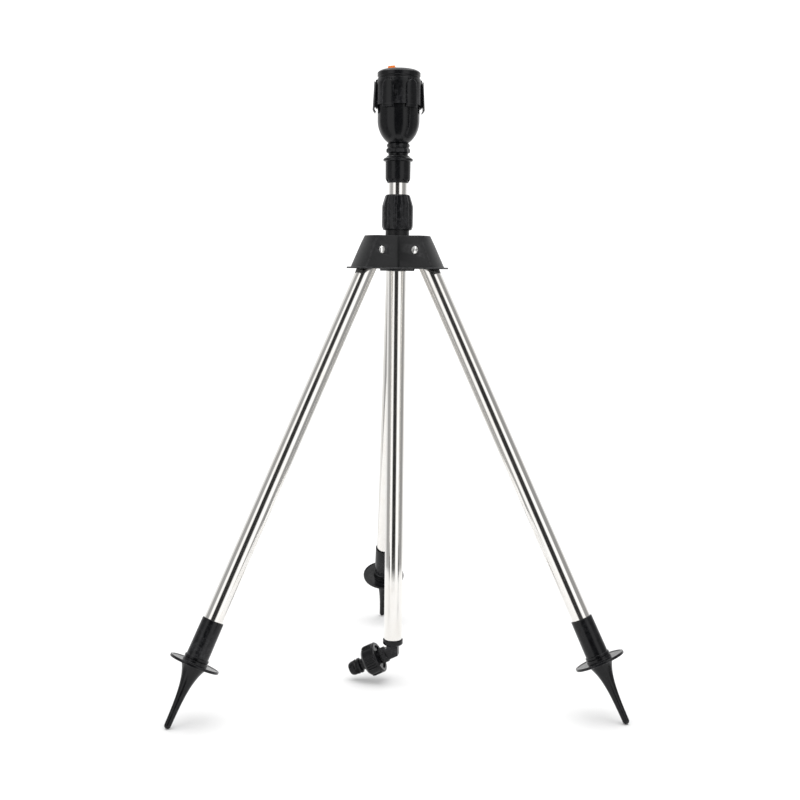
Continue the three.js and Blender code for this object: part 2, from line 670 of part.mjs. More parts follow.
// Internal ring gear on a sleeve that hangs from the turret.
function ringGear() {
  const pitchRadius = (RING_TEETH * RING_MODULE) / 2;
  const root = pitchRadius + DEDENDUM * RING_MODULE;
  const tip = pitchRadius - ADDENDUM * RING_MODULE;
  const teeth = toothed(RING_TEETH, root, tip, Math.PI / RING_TEETH).reverse();
  const band = solidOf(pulled(circle(RING_OUTER, SIDES), GEAR_Z + 3.2, GEAR_Z + 7, [teeth]));
  const sleeve = solidOf(ring(RING_OUTER - 1.6, RING_OUTER, GEAR_Z + 6.5, TURRET_FLANGE.low + 2));
  return geometryOf(band.add(sleeve));
}

function turretWasher() {
  return ring(RING_OUTER + 0.5, BOWL_RADIUS - 0.7, BOWL_RIM_Z + GAP, TURRET_FLANGE.low - GAP);
}

// Direction and middle of the spout hole in the turret's roof.
function spoutPlace(geometry) {
  geometry.rotateY(NOZZLE_TILT);
  geometry.translate(CAP_RADIUS / 2, 0, CAP_TOP_Z - CAP_ROOF / 2);
  return geometry.rotateZ(NOZZLE_AZIMUTH);
}

function turretCap() {
  const outer = CAP_RADIUS;
  const neck = COLLAR_TOP_RADIUS - 4.1;
  const socket = RING_OUTER + GAP;
  const body = solidOf(
    turned([
      [socket, TURRET_FLANGE.low],
      [TURRET_FLANGE.radius, TURRET_FLANGE.low],
      [TURRET_FLANGE.radius, TURRET_FLANGE.high],
      [neck, TURRET_FLANGE.high],
      [neck, CAP_Z],
      [outer - 0.5, CAP_Z],
      [outer - 0.5, CAP_Z + 1.6],
      [outer, CAP_Z + 2.4],
      [outer, CAP_TOP_Z - 3.4],
      [outer - 1, CAP_TOP_Z - 2.2],
      [outer - 3.6, CAP_TOP_Z - 0.8],
      [outer - 7, CAP_TOP_Z],
      [0, CAP_TOP_Z],
      [0, CAP_TOP_Z - CAP_ROOF],
      [RING_OUTER - 1.6, CAP_TOP_Z - CAP_ROOF],
      [RING_OUTER - 1.6, TURRET_FLANGE.low + 2 + GAP],
      [socket, TURRET_FLANGE.low + 2 + GAP],
    ]),
  );
  const hole = solidOf(spoutPlace(rod(NOZZLE_DIAMETER / 2 + GAP, -8, 8, SMALL_SIDES)));
  return geometryOf(body.subtract(hole));
}

// Spout pressed into the turret's roof, standing a little proud of it.
function nozzle() {
  const outer = NOZZLE_DIAMETER / 2;
  const tip = CAP_ROOF / 2 + NOZZLE_STAND;
  return spoutPlace(
    turned([
      [outer - NOZZLE_WALL, -5],
      [outer, -5],
      [outer, tip - 0.6],
      [outer - 0.5, tip],
      [outer - 1.5, tip],
      [outer - 1.9, tip - 1.4],
    ], SMALL_SIDES),
  );
}

// Ring from which the grip tabs are cut, held to the skirt by a band at mid height.
function tabRing(overhang, flare) {
  const shareAt = (z) => (COLLAR_TOP_Z - z) / COLLAR_HEIGHT;
  const outerAt = (z) => COLLAR_TOP_RADIUS + shareAt(z) * (COLLAR_BOTTOM_RADIUS - COLLAR_TOP_RADIUS);
  const backAt = (z) => outerAt(z) + TAB_STAND + shareAt(z) * flare;
  const faceAt = (z) => backAt(z) + TAB_THICKNESS;
  const top = COLLAR_TOP_Z - 2.8;
  const low = COLLAR_BOTTOM_Z - overhang;
  const bandHigh = COLLAR_TOP_Z - 4.5;
  const bandLow = COLLAR_BOTTOM_Z + 3.4;
  return solidOf(
    turned([
      [backAt(top), top],
      [faceAt(top) - 0.4, top],
      [faceAt(top), top - 1],
      [faceAt(low), low + 1.2],
      [faceAt(low) - 0.8, low],
      [backAt(low) - 0.8, low],
      [backAt(low), low + 1.4],
      [backAt(bandLow), bandLow - 1],
      [outerAt(bandLow) - 0.5, bandLow],
      [outerAt(bandHigh) - 0.5, bandHigh],
      [backAt(bandHigh), bandHigh + 1],
    ]),
  );
}

function retainingCollar() {
  const thread = BOWL_RADIUS + GAP;
  const hold = BOWL_RADIUS - 0.1;
  const lip = COLLAR_TOP_RADIUS - 3.7;
  const skirt = solidOf(
    turned([
      [COLLAR_BOTTOM_RADIUS - 1.5, COLLAR_BOTTOM_Z],
      [COLLAR_BOTTOM_RADIUS, COLLAR_BOTTOM_Z],
      [COLLAR_TOP_RADIUS + 0.2, COLLAR_TOP_Z - 4],
      [COLLAR_TOP_RADIUS - 0.8, COLLAR_TOP_Z],
      [lip, COLLAR_TOP_Z],
      [lip, COLLAR_TOP_Z - COLLAR_LIP],
      [hold, COLLAR_TOP_Z - COLLAR_LIP],
      [hold, BOWL_RIM_Z + GAP],
      [thread, BOWL_RIM_Z + GAP],
      [thread, COLLAR_BOTTOM_Z + 5],
    ]),
  );
  const floor = COLLAR_BOTTOM_Z - WING_OVERHANG - 3;
  const tabs = around(TAB_COUNT, (angle) => {
    const wing = Math.abs(Math.sin(angle)) < 0.1;
    const standing = wing ? tabRing(WING_OVERHANG, WING_FLARE) : tabRing(0, 0);
    return standing.intersect(wedge(angle, TAB_HALF_ANGLE, 2 * BOWL_RADIUS, floor, COLLAR_TOP_Z));
  });
  const notches = around(TAB_COUNT, (angle) => {
    const middle = angle + Math.PI / TAB_COUNT;
    return wedge(middle, NOTCH_HALF_ANGLE, 2 * BOWL_RADIUS, floor, COLLAR_BOTTOM_Z + NOTCH_HEIGHT);
  });
  const cut = notches.reduce((left, next) => left.subtract(next), skirt);
  return geometryOf(joined([cut, ...tabs]));
}

// ---------------------------------------------------------------- inlet at the riser's foot

const FERRULE_FLOOR = RISER_BOTTOM - GAP;
const FERRULE_BASE = 2; // thickness of the cup's floor
const BOSS_RADIUS = 8.2;

// Cup on the riser's lower end.
function inletFerrule() {
  const outer = BORE_RADIUS + 0.9;
  const low = FERRULE_FLOOR - FERRULE_BASE;
  return turned([
    [WATERWAY + 1 + GAP, low],
    [outer - 0.8, low],
    [outer, low + 0.8],
    [outer, FERRULE_FLOOR + 4],
    [BORE_RADIUS, FERRULE_FLOOR + 4],
    [BORE_RADIUS, FERRULE_FLOOR],
    [WATERWAY + 1 + GAP, FERRULE_FLOOR],
  ]);
}

// Turns a piece made along Z so that it lies along the connector's direction, from the elbow's corner.
function alongInlet(geometry) {
  geometry.rotateY(Math.PI / 2 + INLET_FALL);
  return geometry.rotateZ(INLET_AZIMUTH).translate(0, 0, ELBOW_HEIGHT);
}

// A square bar with bevelled edges along Z, one side facing the connector.
function elbowBar(low, high) {
  const half = ELBOW_WIDTH / 2;
  const edge = half - 1.2;
  const corners = [[half, -edge], [half, edge], [edge, half], [-edge, half]];
  const opposite = corners.map(([x, y]) => [-x, -y]);
  return pulled([...corners, ...opposite].map(([x, y]) => new THREE.Vector2(x, y)), low, high);
}

function inletElbow() {
  const top = FERRULE_FLOOR - FERRULE_BASE - GAP;
  const thread = UNION_THREAD_RADIUS - GAP;
  const threadEnd = UNION_START + UNION_THREAD_LENGTH;
  const boss = BOSS_RADIUS;
  const bend = Math.PI / 2 + INLET_FALL;
  const towardsRiser = [Math.sin(bend / 2), 0, Math.cos(bend / 2)];
  const mitre = towardsRiser.map((value, axis) => (axis === 2 ? 1 : -1) * value);
  const upright = solidOf(elbowBar(-2 * ELBOW_WIDTH, top - ELBOW_HEIGHT)).trimByPlane(mitre, 0);
  const level = solidOf(elbowBar(-2 * ELBOW_WIDTH, BOSS_RADIUS).rotateY(bend));
  const arm = level.trimByPlane(mitre.map((value) => -value), 0);
  const corner = geometryOf(upright.add(arm)).rotateZ(INLET_AZIMUTH).translate(0, 0, ELBOW_HEIGHT);
  const spigot = solidOf(rod(WATERWAY + 1, top - 1, FERRULE_FLOOR + 5, SMALL_SIDES));
  const screwed = solidOf(
    alongInlet(
      turned([
        [0, BOSS_RADIUS - 1],
        [boss - 0.7, BOSS_RADIUS - 1],
        [boss, BOSS_RADIUS],
        [boss, UNION_START + 1],
        [thread, UNION_START + 1.6],
        [thread, threadEnd],
        [0, threadEnd],
      ]),
    ),
  );
  const ways = joined([
    solidOf(rod(WATERWAY, ELBOW_HEIGHT, FERRULE_FLOOR + 6, SMALL_SIDES)),
    solidOf(alongInlet(rod(WATERWAY, 0, NIPPLE_REACH, SMALL_SIDES))),
    solidOf(new THREE.SphereGeometry(WATERWAY, SMALL_SIDES, 8).translate(0, 0, ELBOW_HEIGHT)),
  ]);
  return geometryOf(joined([solidOf(corner), spigot, screwed]).subtract(ways));
}

const WASHER_START = UNION_START + UNION_THREAD_LENGTH + GAP;
const WASHER_THICKNESS = 1.6;
const NIPPLE_FLANGE = WASHER_START + WASHER_THICKNESS + GAP;
const NIPPLE_FLANGE_THICKNESS = 2.6;

function inletWasher() {
  const outer = UNION_THREAD_RADIUS - 2 * GAP;
  return alongInlet(ring(WATERWAY + 1, outer, WASHER_START, WASHER_START + WASHER_THICKNESS));
}

function unionNut() {
  const outer = UNION_THREAD_RADIUS + UNION_WALL;
  const end = UNION_START + UNION_LENGTH;
  const shoulder = NIPPLE_FLANGE + NIPPLE_FLANGE_THICKNESS + GAP;
  const body = outer - 0.9;
  const shell = solidOf(
    turned([
      [UNION_THREAD_RADIUS, UNION_START],
      [outer - 1, UNION_START],
      [outer, UNION_START + 1],
      [outer, UNION_START + 3],
      [body, UNION_START + 3.6],
      [body, end - 2.2],
      [body - 2.4, end],
      [NIPPLE_DIAMETER / 2 + GAP, end],
      [NIPPLE_DIAMETER / 2 + GAP, shoulder],
      [UNION_THREAD_RADIUS, shoulder],
    ]),
  );
  const length = end - 2.2 - UNION_START - 2;
  const rib = new THREE.BoxGeometry(1.8, 1.5, length).translate(outer - 0.9, 0, UNION_START + 2 + length / 2);
  const ribs = around(UNION_RIB_GROUPS, (group) =>
    Array.from({ length: UNION_RIBS }, (_, i) => {
      const swing = group + (i - (UNION_RIBS - 1) / 2) * UNION_RIB_PITCH;
      return solidOf(rib.clone().rotateZ(swing));
    }),
  ).flat();
  return alongInlet(geometryOf(joined([shell, ...ribs])));
}

const ORING_START = UNION_START + UNION_LENGTH + 10;
const ORING_WIDTH = 2.4;
const ORING_SEAT = NIPPLE_DIAMETER / 2 - 2.6;

// Quick-connect nipple held by the union nut.
function hoseNipple() {
  const stem = NIPPLE_DIAMETER / 2;
  const flangeEnd = NIPPLE_FLANGE + NIPPLE_FLANGE_THICKNESS;
  const nutEnd = UNION_START + UNION_LENGTH;
  return alongInlet(
    turned([
      [WATERWAY, NIPPLE_FLANGE],
      [UNION_THREAD_RADIUS - GAP, NIPPLE_FLANGE],
      [UNION_THREAD_RADIUS - GAP, flangeEnd],
      [stem, flangeEnd],
      [stem, nutEnd + 0.8],
      [stem - 1.8, nutEnd + 1.8],
      [stem - 1.8, nutEnd + 5],
      [stem + 0.2, nutEnd + 6.4],
      [stem + 0.2, nutEnd + 8.4],
      [stem - 0.4, nutEnd + 9],
      [stem - 0.4, ORING_START - GAP],
      [ORING_SEAT, ORING_START - GAP],
      [ORING_SEAT, ORING_START + ORING_WIDTH + GAP],
      [stem - 0.4, ORING_START + ORING_WIDTH + GAP],
      [stem - 0.6, NIPPLE_REACH - 2.5],
      [stem - 1.6, NIPPLE_REACH - 0.6],
      [stem - 2.4, NIPPLE_REACH],
      [WATERWAY, NIPPLE_REACH],
    ], 20),
  );
}

function nippleSeal() {
  const low = ORING_SEAT + GAP;
  const high = low + ORING_WIDTH;
  const bevel = 0.7;
  const end = ORING_START + ORING_WIDTH;
  return alongInlet(
    turned([
      [low, ORING_START + bevel],
      [low + bevel, ORING_START],
      [high - bevel, ORING_START],
      [high, ORING_START + bevel],
      [high, end - bevel],
      [high - bevel, end],
      [low + bevel, end],
      [low, end - bevel],
    ], SMALL_SIDES),
  );
}

// ---------------------------------------------------------------- assembly

const group = new THREE.Group();
const tripod = new THREE.Group();
group.add(tripod);

const hub = new THREE.Group();
hub.position.z = PIVOT_HEIGHT;
tripod.add(hub);
node(hub, "hub_housing", hubHousing(), "housing");

for (const [side, azimuth] of Object.entries(LEG_AZIMUTHS)) {
  const arm = new THREE.Group();
  arm.rotation.z = azimuth * DEG;
  hub.add(arm);
  const pivot = new THREE.Group();
  pivot.position.x = PIVOT_RADIUS;
  arm.add(pivot);
  node(pivot, `pivot_screw_${side}`, pivotScrew(), "screw_steel");
  node(pivot, `pivot_nut_${side}`, pivotNut(), "screw_steel");
  const leg = new THREE.Group();
  leg.rotation.y = -SPLAY;
  pivot.add(leg);
  node(leg, `leg_knuckle_${side}`, legKnuckle(), "moulding");
  node(leg, `leg_tube_${side}`, legTube(), "stainless");
  node(leg, `foot_${side}`, foot(), "moulding");
}

node(tripod, "collet", collet(), "gear_white");
node(tripod, "clamp_washer", clampWasher(), "rubber");
node(tripod, "clamp_nut", clampNut(), "moulding");

node(tripod, "riser_tube", riserTube(), "stainless");
node(tripod, "riser_coupling", riserCoupling(), "moulding");
node(tripod, "coupling_washer", couplingWasher(), "rubber");
node(tripod, "neck_adapter", neckAdapter(), "moulding");

node(tripod, "bowl", bowl(), "moulding");
node(tripod, "retaining_collar", retainingCollar(), "moulding");
node(tripod, "stator_plate", statorPlate(), "gear_white");
node(tripod, "turbine_axle", turbineAxle(), "screw_steel");
node(tripod, "turbine", turbine(), "gear_white");
node(tripod, "gear_plate", gearPlate(), "gear_white");
node(tripod, "idler_gear", idlerGear(), "gear_white");
node(tripod, "ring_gear", ringGear(), "gear_white");
node(tripod, "turret_washer", turretWasher(), "rubber");
node(tripod, "turret_cap", turretCap(), "moulding");
node(tripod, "nozzle", nozzle(), "nozzle_orange");

node(tripod, "inlet_ferrule", inletFerrule(), "moulding");
node(tripod, "inlet_elbow", inletElbow(), "moulding");
node(tripod, "inlet_washer", inletWasher(), "rubber");
node(tripod, "union_nut", unionNut(), "moulding");
node(tripod, "hose_nipple", hoseNipple(), "moulding");
node(tripod, "nipple_seal", nippleSeal(), "rubber");

const extent = new THREE.Box3().setFromObject(group, true);
const middle = extent.getCenter(new THREE.Vector3());
tripod.position.set(-middle.x, -middle.y, -extent.min.z);

export default group;
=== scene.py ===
"""Looks of a tripod garden sprinkler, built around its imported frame.

Every visible piece is a fine mesh that stands for one or more nodes of the frame. Sizes inside the
script are millimetres, and places come from the frame's own boxes and joints.
"""

import json
import logging
import math
from dataclasses import dataclass
from enum import Enum
from typing import Callable, Iterable, Sequence

import bmesh
import bpy
from mathutils import Matrix, Vector


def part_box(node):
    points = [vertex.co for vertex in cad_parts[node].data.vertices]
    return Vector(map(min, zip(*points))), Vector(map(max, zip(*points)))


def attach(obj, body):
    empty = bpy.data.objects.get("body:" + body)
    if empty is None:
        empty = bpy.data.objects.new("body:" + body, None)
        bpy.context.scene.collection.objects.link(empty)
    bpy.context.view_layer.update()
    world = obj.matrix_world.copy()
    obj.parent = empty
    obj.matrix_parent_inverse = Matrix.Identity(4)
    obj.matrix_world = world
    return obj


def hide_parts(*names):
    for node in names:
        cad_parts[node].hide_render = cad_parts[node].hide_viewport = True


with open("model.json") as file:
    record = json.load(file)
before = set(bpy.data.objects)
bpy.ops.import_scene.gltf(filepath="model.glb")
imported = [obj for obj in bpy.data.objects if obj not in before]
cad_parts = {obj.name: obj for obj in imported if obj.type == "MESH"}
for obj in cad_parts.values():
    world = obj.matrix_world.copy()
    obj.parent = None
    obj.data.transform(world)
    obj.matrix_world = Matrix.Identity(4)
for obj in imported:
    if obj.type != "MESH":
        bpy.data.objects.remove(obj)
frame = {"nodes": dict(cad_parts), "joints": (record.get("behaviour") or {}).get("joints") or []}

LOG = logging.getLogger("sprinkler")
MM = 0.001
GAP = 0.3
SIDES = 96
SHARP = math.radians(32)
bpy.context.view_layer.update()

Ripple = Callable[[float, float], float]


# ------------------------------------------------------------------ the frame's own places


@dataclass(frozen=True)
class Span:
    """Lowest and highest corner of a node, in millimetres."""

    low: Vector
    high: Vector

    @classmethod
    def of(cls, node: str) -> "Span":
        """The span of a node of the frame."""
        low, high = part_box(node)
        return cls(low / MM, high / MM)

    @property
    def middle(self) -> Vector:
        """The centre of the box."""
        return (self.low + self.high) / 2


class Side(Enum):
    """The three legs and their compass directions in degrees."""

    REAR = 90
    LEFT = 210
    RIGHT = 330

    @property
    def word(self) -> str:
        """The side's name as node names use it."""
        return self.name.lower()


def joint(name: str) -> dict:
    """The frame's joint of that name."""
    return next(j for j in frame["joints"] if j["name"] == name)


def leg_place(side: Side) -> Matrix:
    """Carries a leg built along -Z from its pivot to where it stands.

    Args:
        side: Which leg.

    Returns:
        The leg's placing matrix, in millimetres.
    """
    pivot = Vector(joint(f"leg_fold_{side.word}")["pos_m"]) / MM
    tube = Span.of(f"leg_tube_{side.word}").middle - pivot
    splay = math.atan2(math.hypot(tube.x, tube.y), -tube.z)
    turn = Matrix.Rotation(math.radians(side.value), 4, "Z")
    return Matrix.Translation(pivot) @ turn @ Matrix.Rotation(-splay, 4, "Y")


def leg_reach(node: str, side: Side) -> tuple[float, float]:
    """Nearest and farthest distance of a leg's node from the pivot, along the leg.

    Args:
        node: The node's name.
        side: The leg that it belongs to.

    Returns:
        The two distances in millimetres.
    """
    back = leg_place(side).inverted()
    along = [-(back @ (v.co / MM)).z for v in frame["nodes"][node].data.vertices]
    return min(along), max(along)


AXIS = Span.of("riser_tube").middle
UPRIGHT = Matrix.Translation((AXIS.x, AXIS.y, 0))


def inlet_place() -> Matrix:
    """Carries a piece built along +Z to the inlet's sloping line, which starts on the riser's axis."""
    facts = joint("union_turn")
    heading = Vector(facts["axis"])
    spot = Vector(facts["pos_m"]) / MM
    run = math.hypot(spot.x - AXIS.x, spot.y - AXIS.y) / math.hypot(heading.x, heading.y)
    start = spot - run * heading
    return Matrix.Translation(start) @ heading.to_track_quat("Z", "Y").to_matrix().to_4x4()


def inlet_reach(node: str) -> tuple[float, float]:
    """Nearest and farthest distance of an inlet node from the riser's axis, along the inlet."""
    back = inlet_place().inverted()
    along = [(back @ (v.co / MM)).z for v in frame["nodes"][node].data.vertices]
    return min(along), max(along)


# ------------------------------------------------------------------ shapes


def fillet(corners: Sequence[tuple], steps: int = 5) -> list[tuple[float, float]]:
    """Rounds the corners of a profile.

    Args:
        corners: (radius, height) or (radius, height, fillet) in order. A profile that starts off the
            axis closes on itself.
        steps: Straight pieces in each rounded corner.

    Returns:
        The rounded profile as (radius, height) pairs.
    """
    closed = corners[0][0] > 0
    points = [Vector((c[0], c[1])) for c in corners]
    done = []
    for i, corner in enumerate(corners):
        here = points[i]
        at_end = not closed and i in (0, len(corners) - 1)
        if len(corner) < 3 or at_end:
            done.append((here.x, here.y))
            continue
        before = points[i - 1] - here
        after = points[(i + 1) % len(points)] - here
        half = before.angle(after) / 2
        back = min(corner[2] / math.tan(half), 0.48 * before.length, 0.48 * after.length)
        start = here + before.normalized() * back
        end = here + after.normalized() * back
        for k in range(steps + 1):
            t = k / steps
            bend = start.lerp(here, t).lerp(here.lerp(end, t), t)
            done.append((bend.x, bend.y))
    return done


def blank() -> bmesh.types.BMesh:
    """An empty mesh to build in."""
    return bmesh.new()


def spun(
    corners: Sequence[tuple], sides: int = SIDES, ripple: Ripple | None = None, steps: int = 5
) -> bmesh.types.BMesh:
    """Turns a profile about Z into a closed shell.

    Args:
        corners: The profile, as fillet() takes it.
        sides: Faces round the axis.
        ripple: Change of radius at an angle and a height.
        steps: Straight pieces in each rounded corner.

    Returns:
        The shell, with a UV map of turns round the axis and millimetres along the profile.
    """
    profile = fillet(corners, steps)
    closed = profile[0][0] > 0
    bm = blank()
    uv = bm.loops.layers.uv.new("UVMap")
    rings = []
    for radius, height in profile:
        if radius <= 0:
            rings.append([bm.verts.new((0, 0, height))])
            continue
        ring = []
        for k in range(sides):
            angle = 2 * math.pi * k / sides
            r = radius + (ripple(angle, height) if ripple else 0)
            ring.append(bm.verts.new((r * math.cos(angle), r * math.sin(angle), height)))
        rings.append(ring)
    travel = [0.0]
    pairs = list(zip(profile, profile[1:] + profile[:1]))
    for (r0, z0), (r1, z1) in pairs:
        travel.append(travel[-1] + math.hypot(r1 - r0, z1 - z0))
    for i in range(len(rings) if closed else len(rings) - 1):
        low, high = rings[i], rings[(i + 1) % len(rings)]
        for k in range(sides):
            n = k + 1
            marks = [(low[k % len(low)], k, i), (low[n % len(low)], n, i)]
            marks += [(high[n % len(high)], n, i + 1), (high[k % len(high)], k, i + 1)]
            unique = [m for j, m in enumerate(marks) if m[0] not in [o[0] for o in marks[:j]]]
            if len(unique) < 3:
                continue
            face = bm.faces.new([m[0] for m in unique])
            for loop, mark in zip(face.loops, unique):
                loop[uv].uv = (mark[1] / sides, travel[mark[2]])
    bmesh.ops.recalc_face_normals(bm, faces=bm.faces)
    return bm


def stacked(levels: Sequence[tuple[float, Sequence[Vector]]]) -> bmesh.types.BMesh:
    """Joins plane outlines of as many points, one above another, into a closed shell.

    Args:
        levels: (height, outline) pairs from the lowest up.

    Returns:
        The shell.
    """
    bm = blank()
    rings = [[bm.verts.new((p.x, p.y, z)) for p in outline] for z, outline in levels]
    for low, high in zip(rings, rings[1:]):
        for k in range(len(low)):
            n = (k + 1) % len(low)
            bm.faces.new((low[k], low[n], high[n], high[k]))
    bm.faces.new(list(reversed(rings[0])))
    bm.faces.new(rings[-1])
    bmesh.ops.recalc_face_normals(bm, faces=bm.faces)
    return bm


def block(size: Sequence[float], middle: Sequence[float]) -> bmesh.types.BMesh:
    """A cutting block of that size about a middle point."""
    bm = blank()
    bmesh.ops.create_cube(bm, size=1, matrix=Matrix.Translation(middle) @ Matrix.Diagonal((*size, 1)))
    return bm


def bar(radius: float, low: float, high: float, sides: int = 48) -> bmesh.types.BMesh:
    """A cutting cylinder along Z."""
    return spun([(0, low), (radius, low), (radius, high), (0, high)], sides)


def moved(bm: bmesh.types.BMesh, place: Matrix) -> bmesh.types.BMesh:
    """The same shell, carried by a matrix."""
    bm.transform(place)
    return bm


def trimmed(bm: bmesh.types.BMesh, point: Vector, normal: Vector) -> bmesh.types.BMesh:
    """Keeps the part of a shell that lies on a plane's normal side, and closes it there."""
    everything = [*bm.verts, *bm.edges, *bm.faces]
    bmesh.ops.bisect_plane(bm, geom=everything, plane_co=point, plane_no=normal, clear_inner=True)
    bmesh.ops.holes_fill(bm, edges=[edge for edge in bm.edges if edge.is_boundary])
    bmesh.ops.recalc_face_normals(bm, faces=bm.faces)
    return bm


def turned_about(angle: float, axis: str = "Z") -> Matrix:
    """A rotation about one axis through the origin, in radians."""
    return Matrix.Rotation(angle, 4, axis)


def together(shells: Iterable[bmesh.types.BMesh]) -> bmesh.types.BMesh:
    """Several shells in one mesh, left as separate shells."""
    total = blank()
    total.loops.layers.uv.new("UVMap")
    for shell in shells:
        part = bpy.data.meshes.new("part")
        shell.to_mesh(part)
        shell.free()
        total.from_mesh(part)
        bpy.data.meshes.remove(part)
    return total


def scratch_object(bm: bmesh.types.BMesh) -> bpy.types.Object:
    """A passing object that carries a shell through a modifier."""
    mesh = bpy.data.meshes.new("scratch")
    bm.to_mesh(mesh)
    bm.free()
    thing = bpy.data.objects.new("scratch", mesh)
    bpy.context.scene.collection.objects.link(thing)
    return thing


def evaluated(thing: bpy.types.Object) -> bmesh.types.BMesh:
    """The mesh that an object's modifiers make; the object is used up."""
    graph = bpy.context.evaluated_depsgraph_get()
    graph.update()
    mesh = bpy.data.meshes.new_from_object(thing.evaluated_get(graph))
    bm = blank()
    bm.from_mesh(mesh)
    old = thing.data
    bpy.data.objects.remove(thing)
    bpy.data.meshes.remove(old)
    bpy.data.meshes.remove(mesh)
    return bm


class Cut(Enum):
    """What a boolean does with its second shell."""

    AWAY = "DIFFERENCE"
    JOIN = "UNION"
    KEEP = "INTERSECT"


def combined(base: bmesh.types.BMesh, tool: bmesh.types.BMesh, how: Cut) -> bmesh.types.BMesh:
    """Joins two shells, or cuts one with the other.

    Args:
        base: The shell that stays.
        tool: The shell that joins or cuts it.
        how: What the tool does.

    Returns:
        The resulting shell.
    """
    thing = scratch_object(base)
    cutter = scratch_object(tool)
    step = thing.modifiers.new("cut", "BOOLEAN")
    step.operation = how.value
    step.solver = "EXACT"
    step.object = cutter
    result = evaluated(thing)
    bpy.data.meshes.remove(cutter.data)
    return result


# ------------------------------------------------------------------ geometry nodes


class Graph:
    """A node tree under construction."""

    def __init__(self, tree: bpy.types.NodeTree) -> None:
        """Works on a tree."""
        self.tree = tree

    def feed(self, socket: bpy.types.NodeSocket, value) -> None:
        """Links a socket to an input, or sets the input to a constant."""
        if isinstance(value, bpy.types.NodeSocket):
            self.tree.links.new(value, socket)
        else:
            socket.default_value = value

    def add(self, kind: str, feeds: dict | None = None, **settings) -> bpy.types.Node:
        """Adds a node.

        Args:
            kind: The node's type.
            feeds: Input name or index, and the socket or constant that feeds it.
            **settings: The node's own properties.

        Returns:
            The node.
        """
        step = self.tree.nodes.new(kind)
        for key, value in settings.items():
            setattr(step, key, value)
        for key, value in (feeds or {}).items():
            self.feed(step.inputs[key], value)
        return step

    def math(self, operation: str, *values: "bpy.types.NodeSocket | float") -> bpy.types.NodeSocket:
        """The result of a Math node."""
        return self.add("ShaderNodeMath", dict(enumerate(values)), operation=operation).outputs[0]

    def mix(self, factor, first, second) -> bpy.types.NodeSocket:
        """A colour mix of two colours or colour sockets."""
        return self.add("ShaderNodeMix", {0: factor, 6: first, 7: second}, data_type="RGBA").outputs[2]


class Recipe(Graph):
    """One Geometry Nodes tree with named inputs, ending in Realize Instances and Set Material."""

    def __init__(self, name: str, inputs: dict[str, float | int]) -> None:
        """Makes the tree and its inputs.

        Args:
            name: The tree's name.
            inputs: Name and default of each input; whole numbers become integer inputs.
        """
        super().__init__(bpy.data.node_groups.new(name, "GeometryNodeTree"))
        face = self.tree.interface
        face.new_socket("Geometry", in_out="INPUT", socket_type="NodeSocketGeometry")
        for label, default in inputs.items():
            kind = "NodeSocketInt" if isinstance(default, int) else "NodeSocketFloat"
            face.new_socket(label, in_out="INPUT", socket_type=kind).default_value = default
        face.new_socket("Material", in_out="INPUT", socket_type="NodeSocketMaterial")
        face.new_socket("Geometry", in_out="OUTPUT", socket_type="NodeSocketGeometry")
        self.source = self.tree.nodes.new("NodeGroupInput")

    def input(self, label: str) -> bpy.types.NodeSocket:
        """The socket of a named input."""
        return self.source.outputs[label]

    def vector(self, x=0.0, y=0.0, z=0.0) -> bpy.types.NodeSocket:
        """A vector from three sockets or numbers."""
        return self.add("ShaderNodeCombineXYZ", {0: x, 1: y, 2: z}).outputs[0]

    def close(self, geometry: bpy.types.NodeSocket) -> "Recipe":
        """Ends the tree on a geometry socket."""
        whole = self.add("GeometryNodeRealizeInstances", {0: geometry}).outputs[0]
        dressed = self.add(
            "GeometryNodeSetMaterial", {"Geometry": whole, "Material": self.input("Material")}
        )
        end = self.tree.nodes.new("NodeGroupOutput")
        self.tree.links.new(dressed.outputs[0], end.inputs[0])
        return self

    def made(
        self, values: dict, material: bpy.types.Material, base: bmesh.types.BMesh | None = None
    ) -> bmesh.types.BMesh:
        """Runs the tree and gives its mesh.

        Args:
            values: Named inputs and their values.
            material: The finish that the tree sets.
            base: The mesh that the tree starts from, if it needs one.

        Returns:
            The mesh, with doubles merged.
        """
        thing = scratch_object(base if base else blank())
        step = thing.modifiers.new("recipe", "NODES")
        step.node_group = self.tree
        wanted = {**values, "Material": material}
        for item in self.tree.interface.items_tree:
            if item.in_out == "INPUT" and item.name in wanted:
                step[item.identifier] = wanted[item.name]
        bm = evaluated(thing)
        bmesh.ops.remove_doubles(bm, verts=bm.verts, dist=1e-4)
        return bm


def copies_recipe() -> Recipe:
    """Copies its own mesh round Z: inputs Count and First, the first copy's angle."""
    tree = Recipe("copies_round_axis", {"Count": 3, "First": 0.0})
    points = tree.add("GeometryNodePoints", {"Count": tree.input("Count")})
    step = tree.math("DIVIDE", 2 * math.pi, tree.input("Count"))
    index = tree.add("GeometryNodeInputIndex").outputs[0]
    angle = tree.math("MULTIPLY_ADD", index, step, tree.input("First"))
    feeds = {
        "Points": points.outputs[0], "Instance": tree.input("Geometry"), "Rotation": tree.vector(z=angle)
    }
    return tree.close(tree.add("GeometryNodeInstanceOnPoints", feeds).outputs[0])


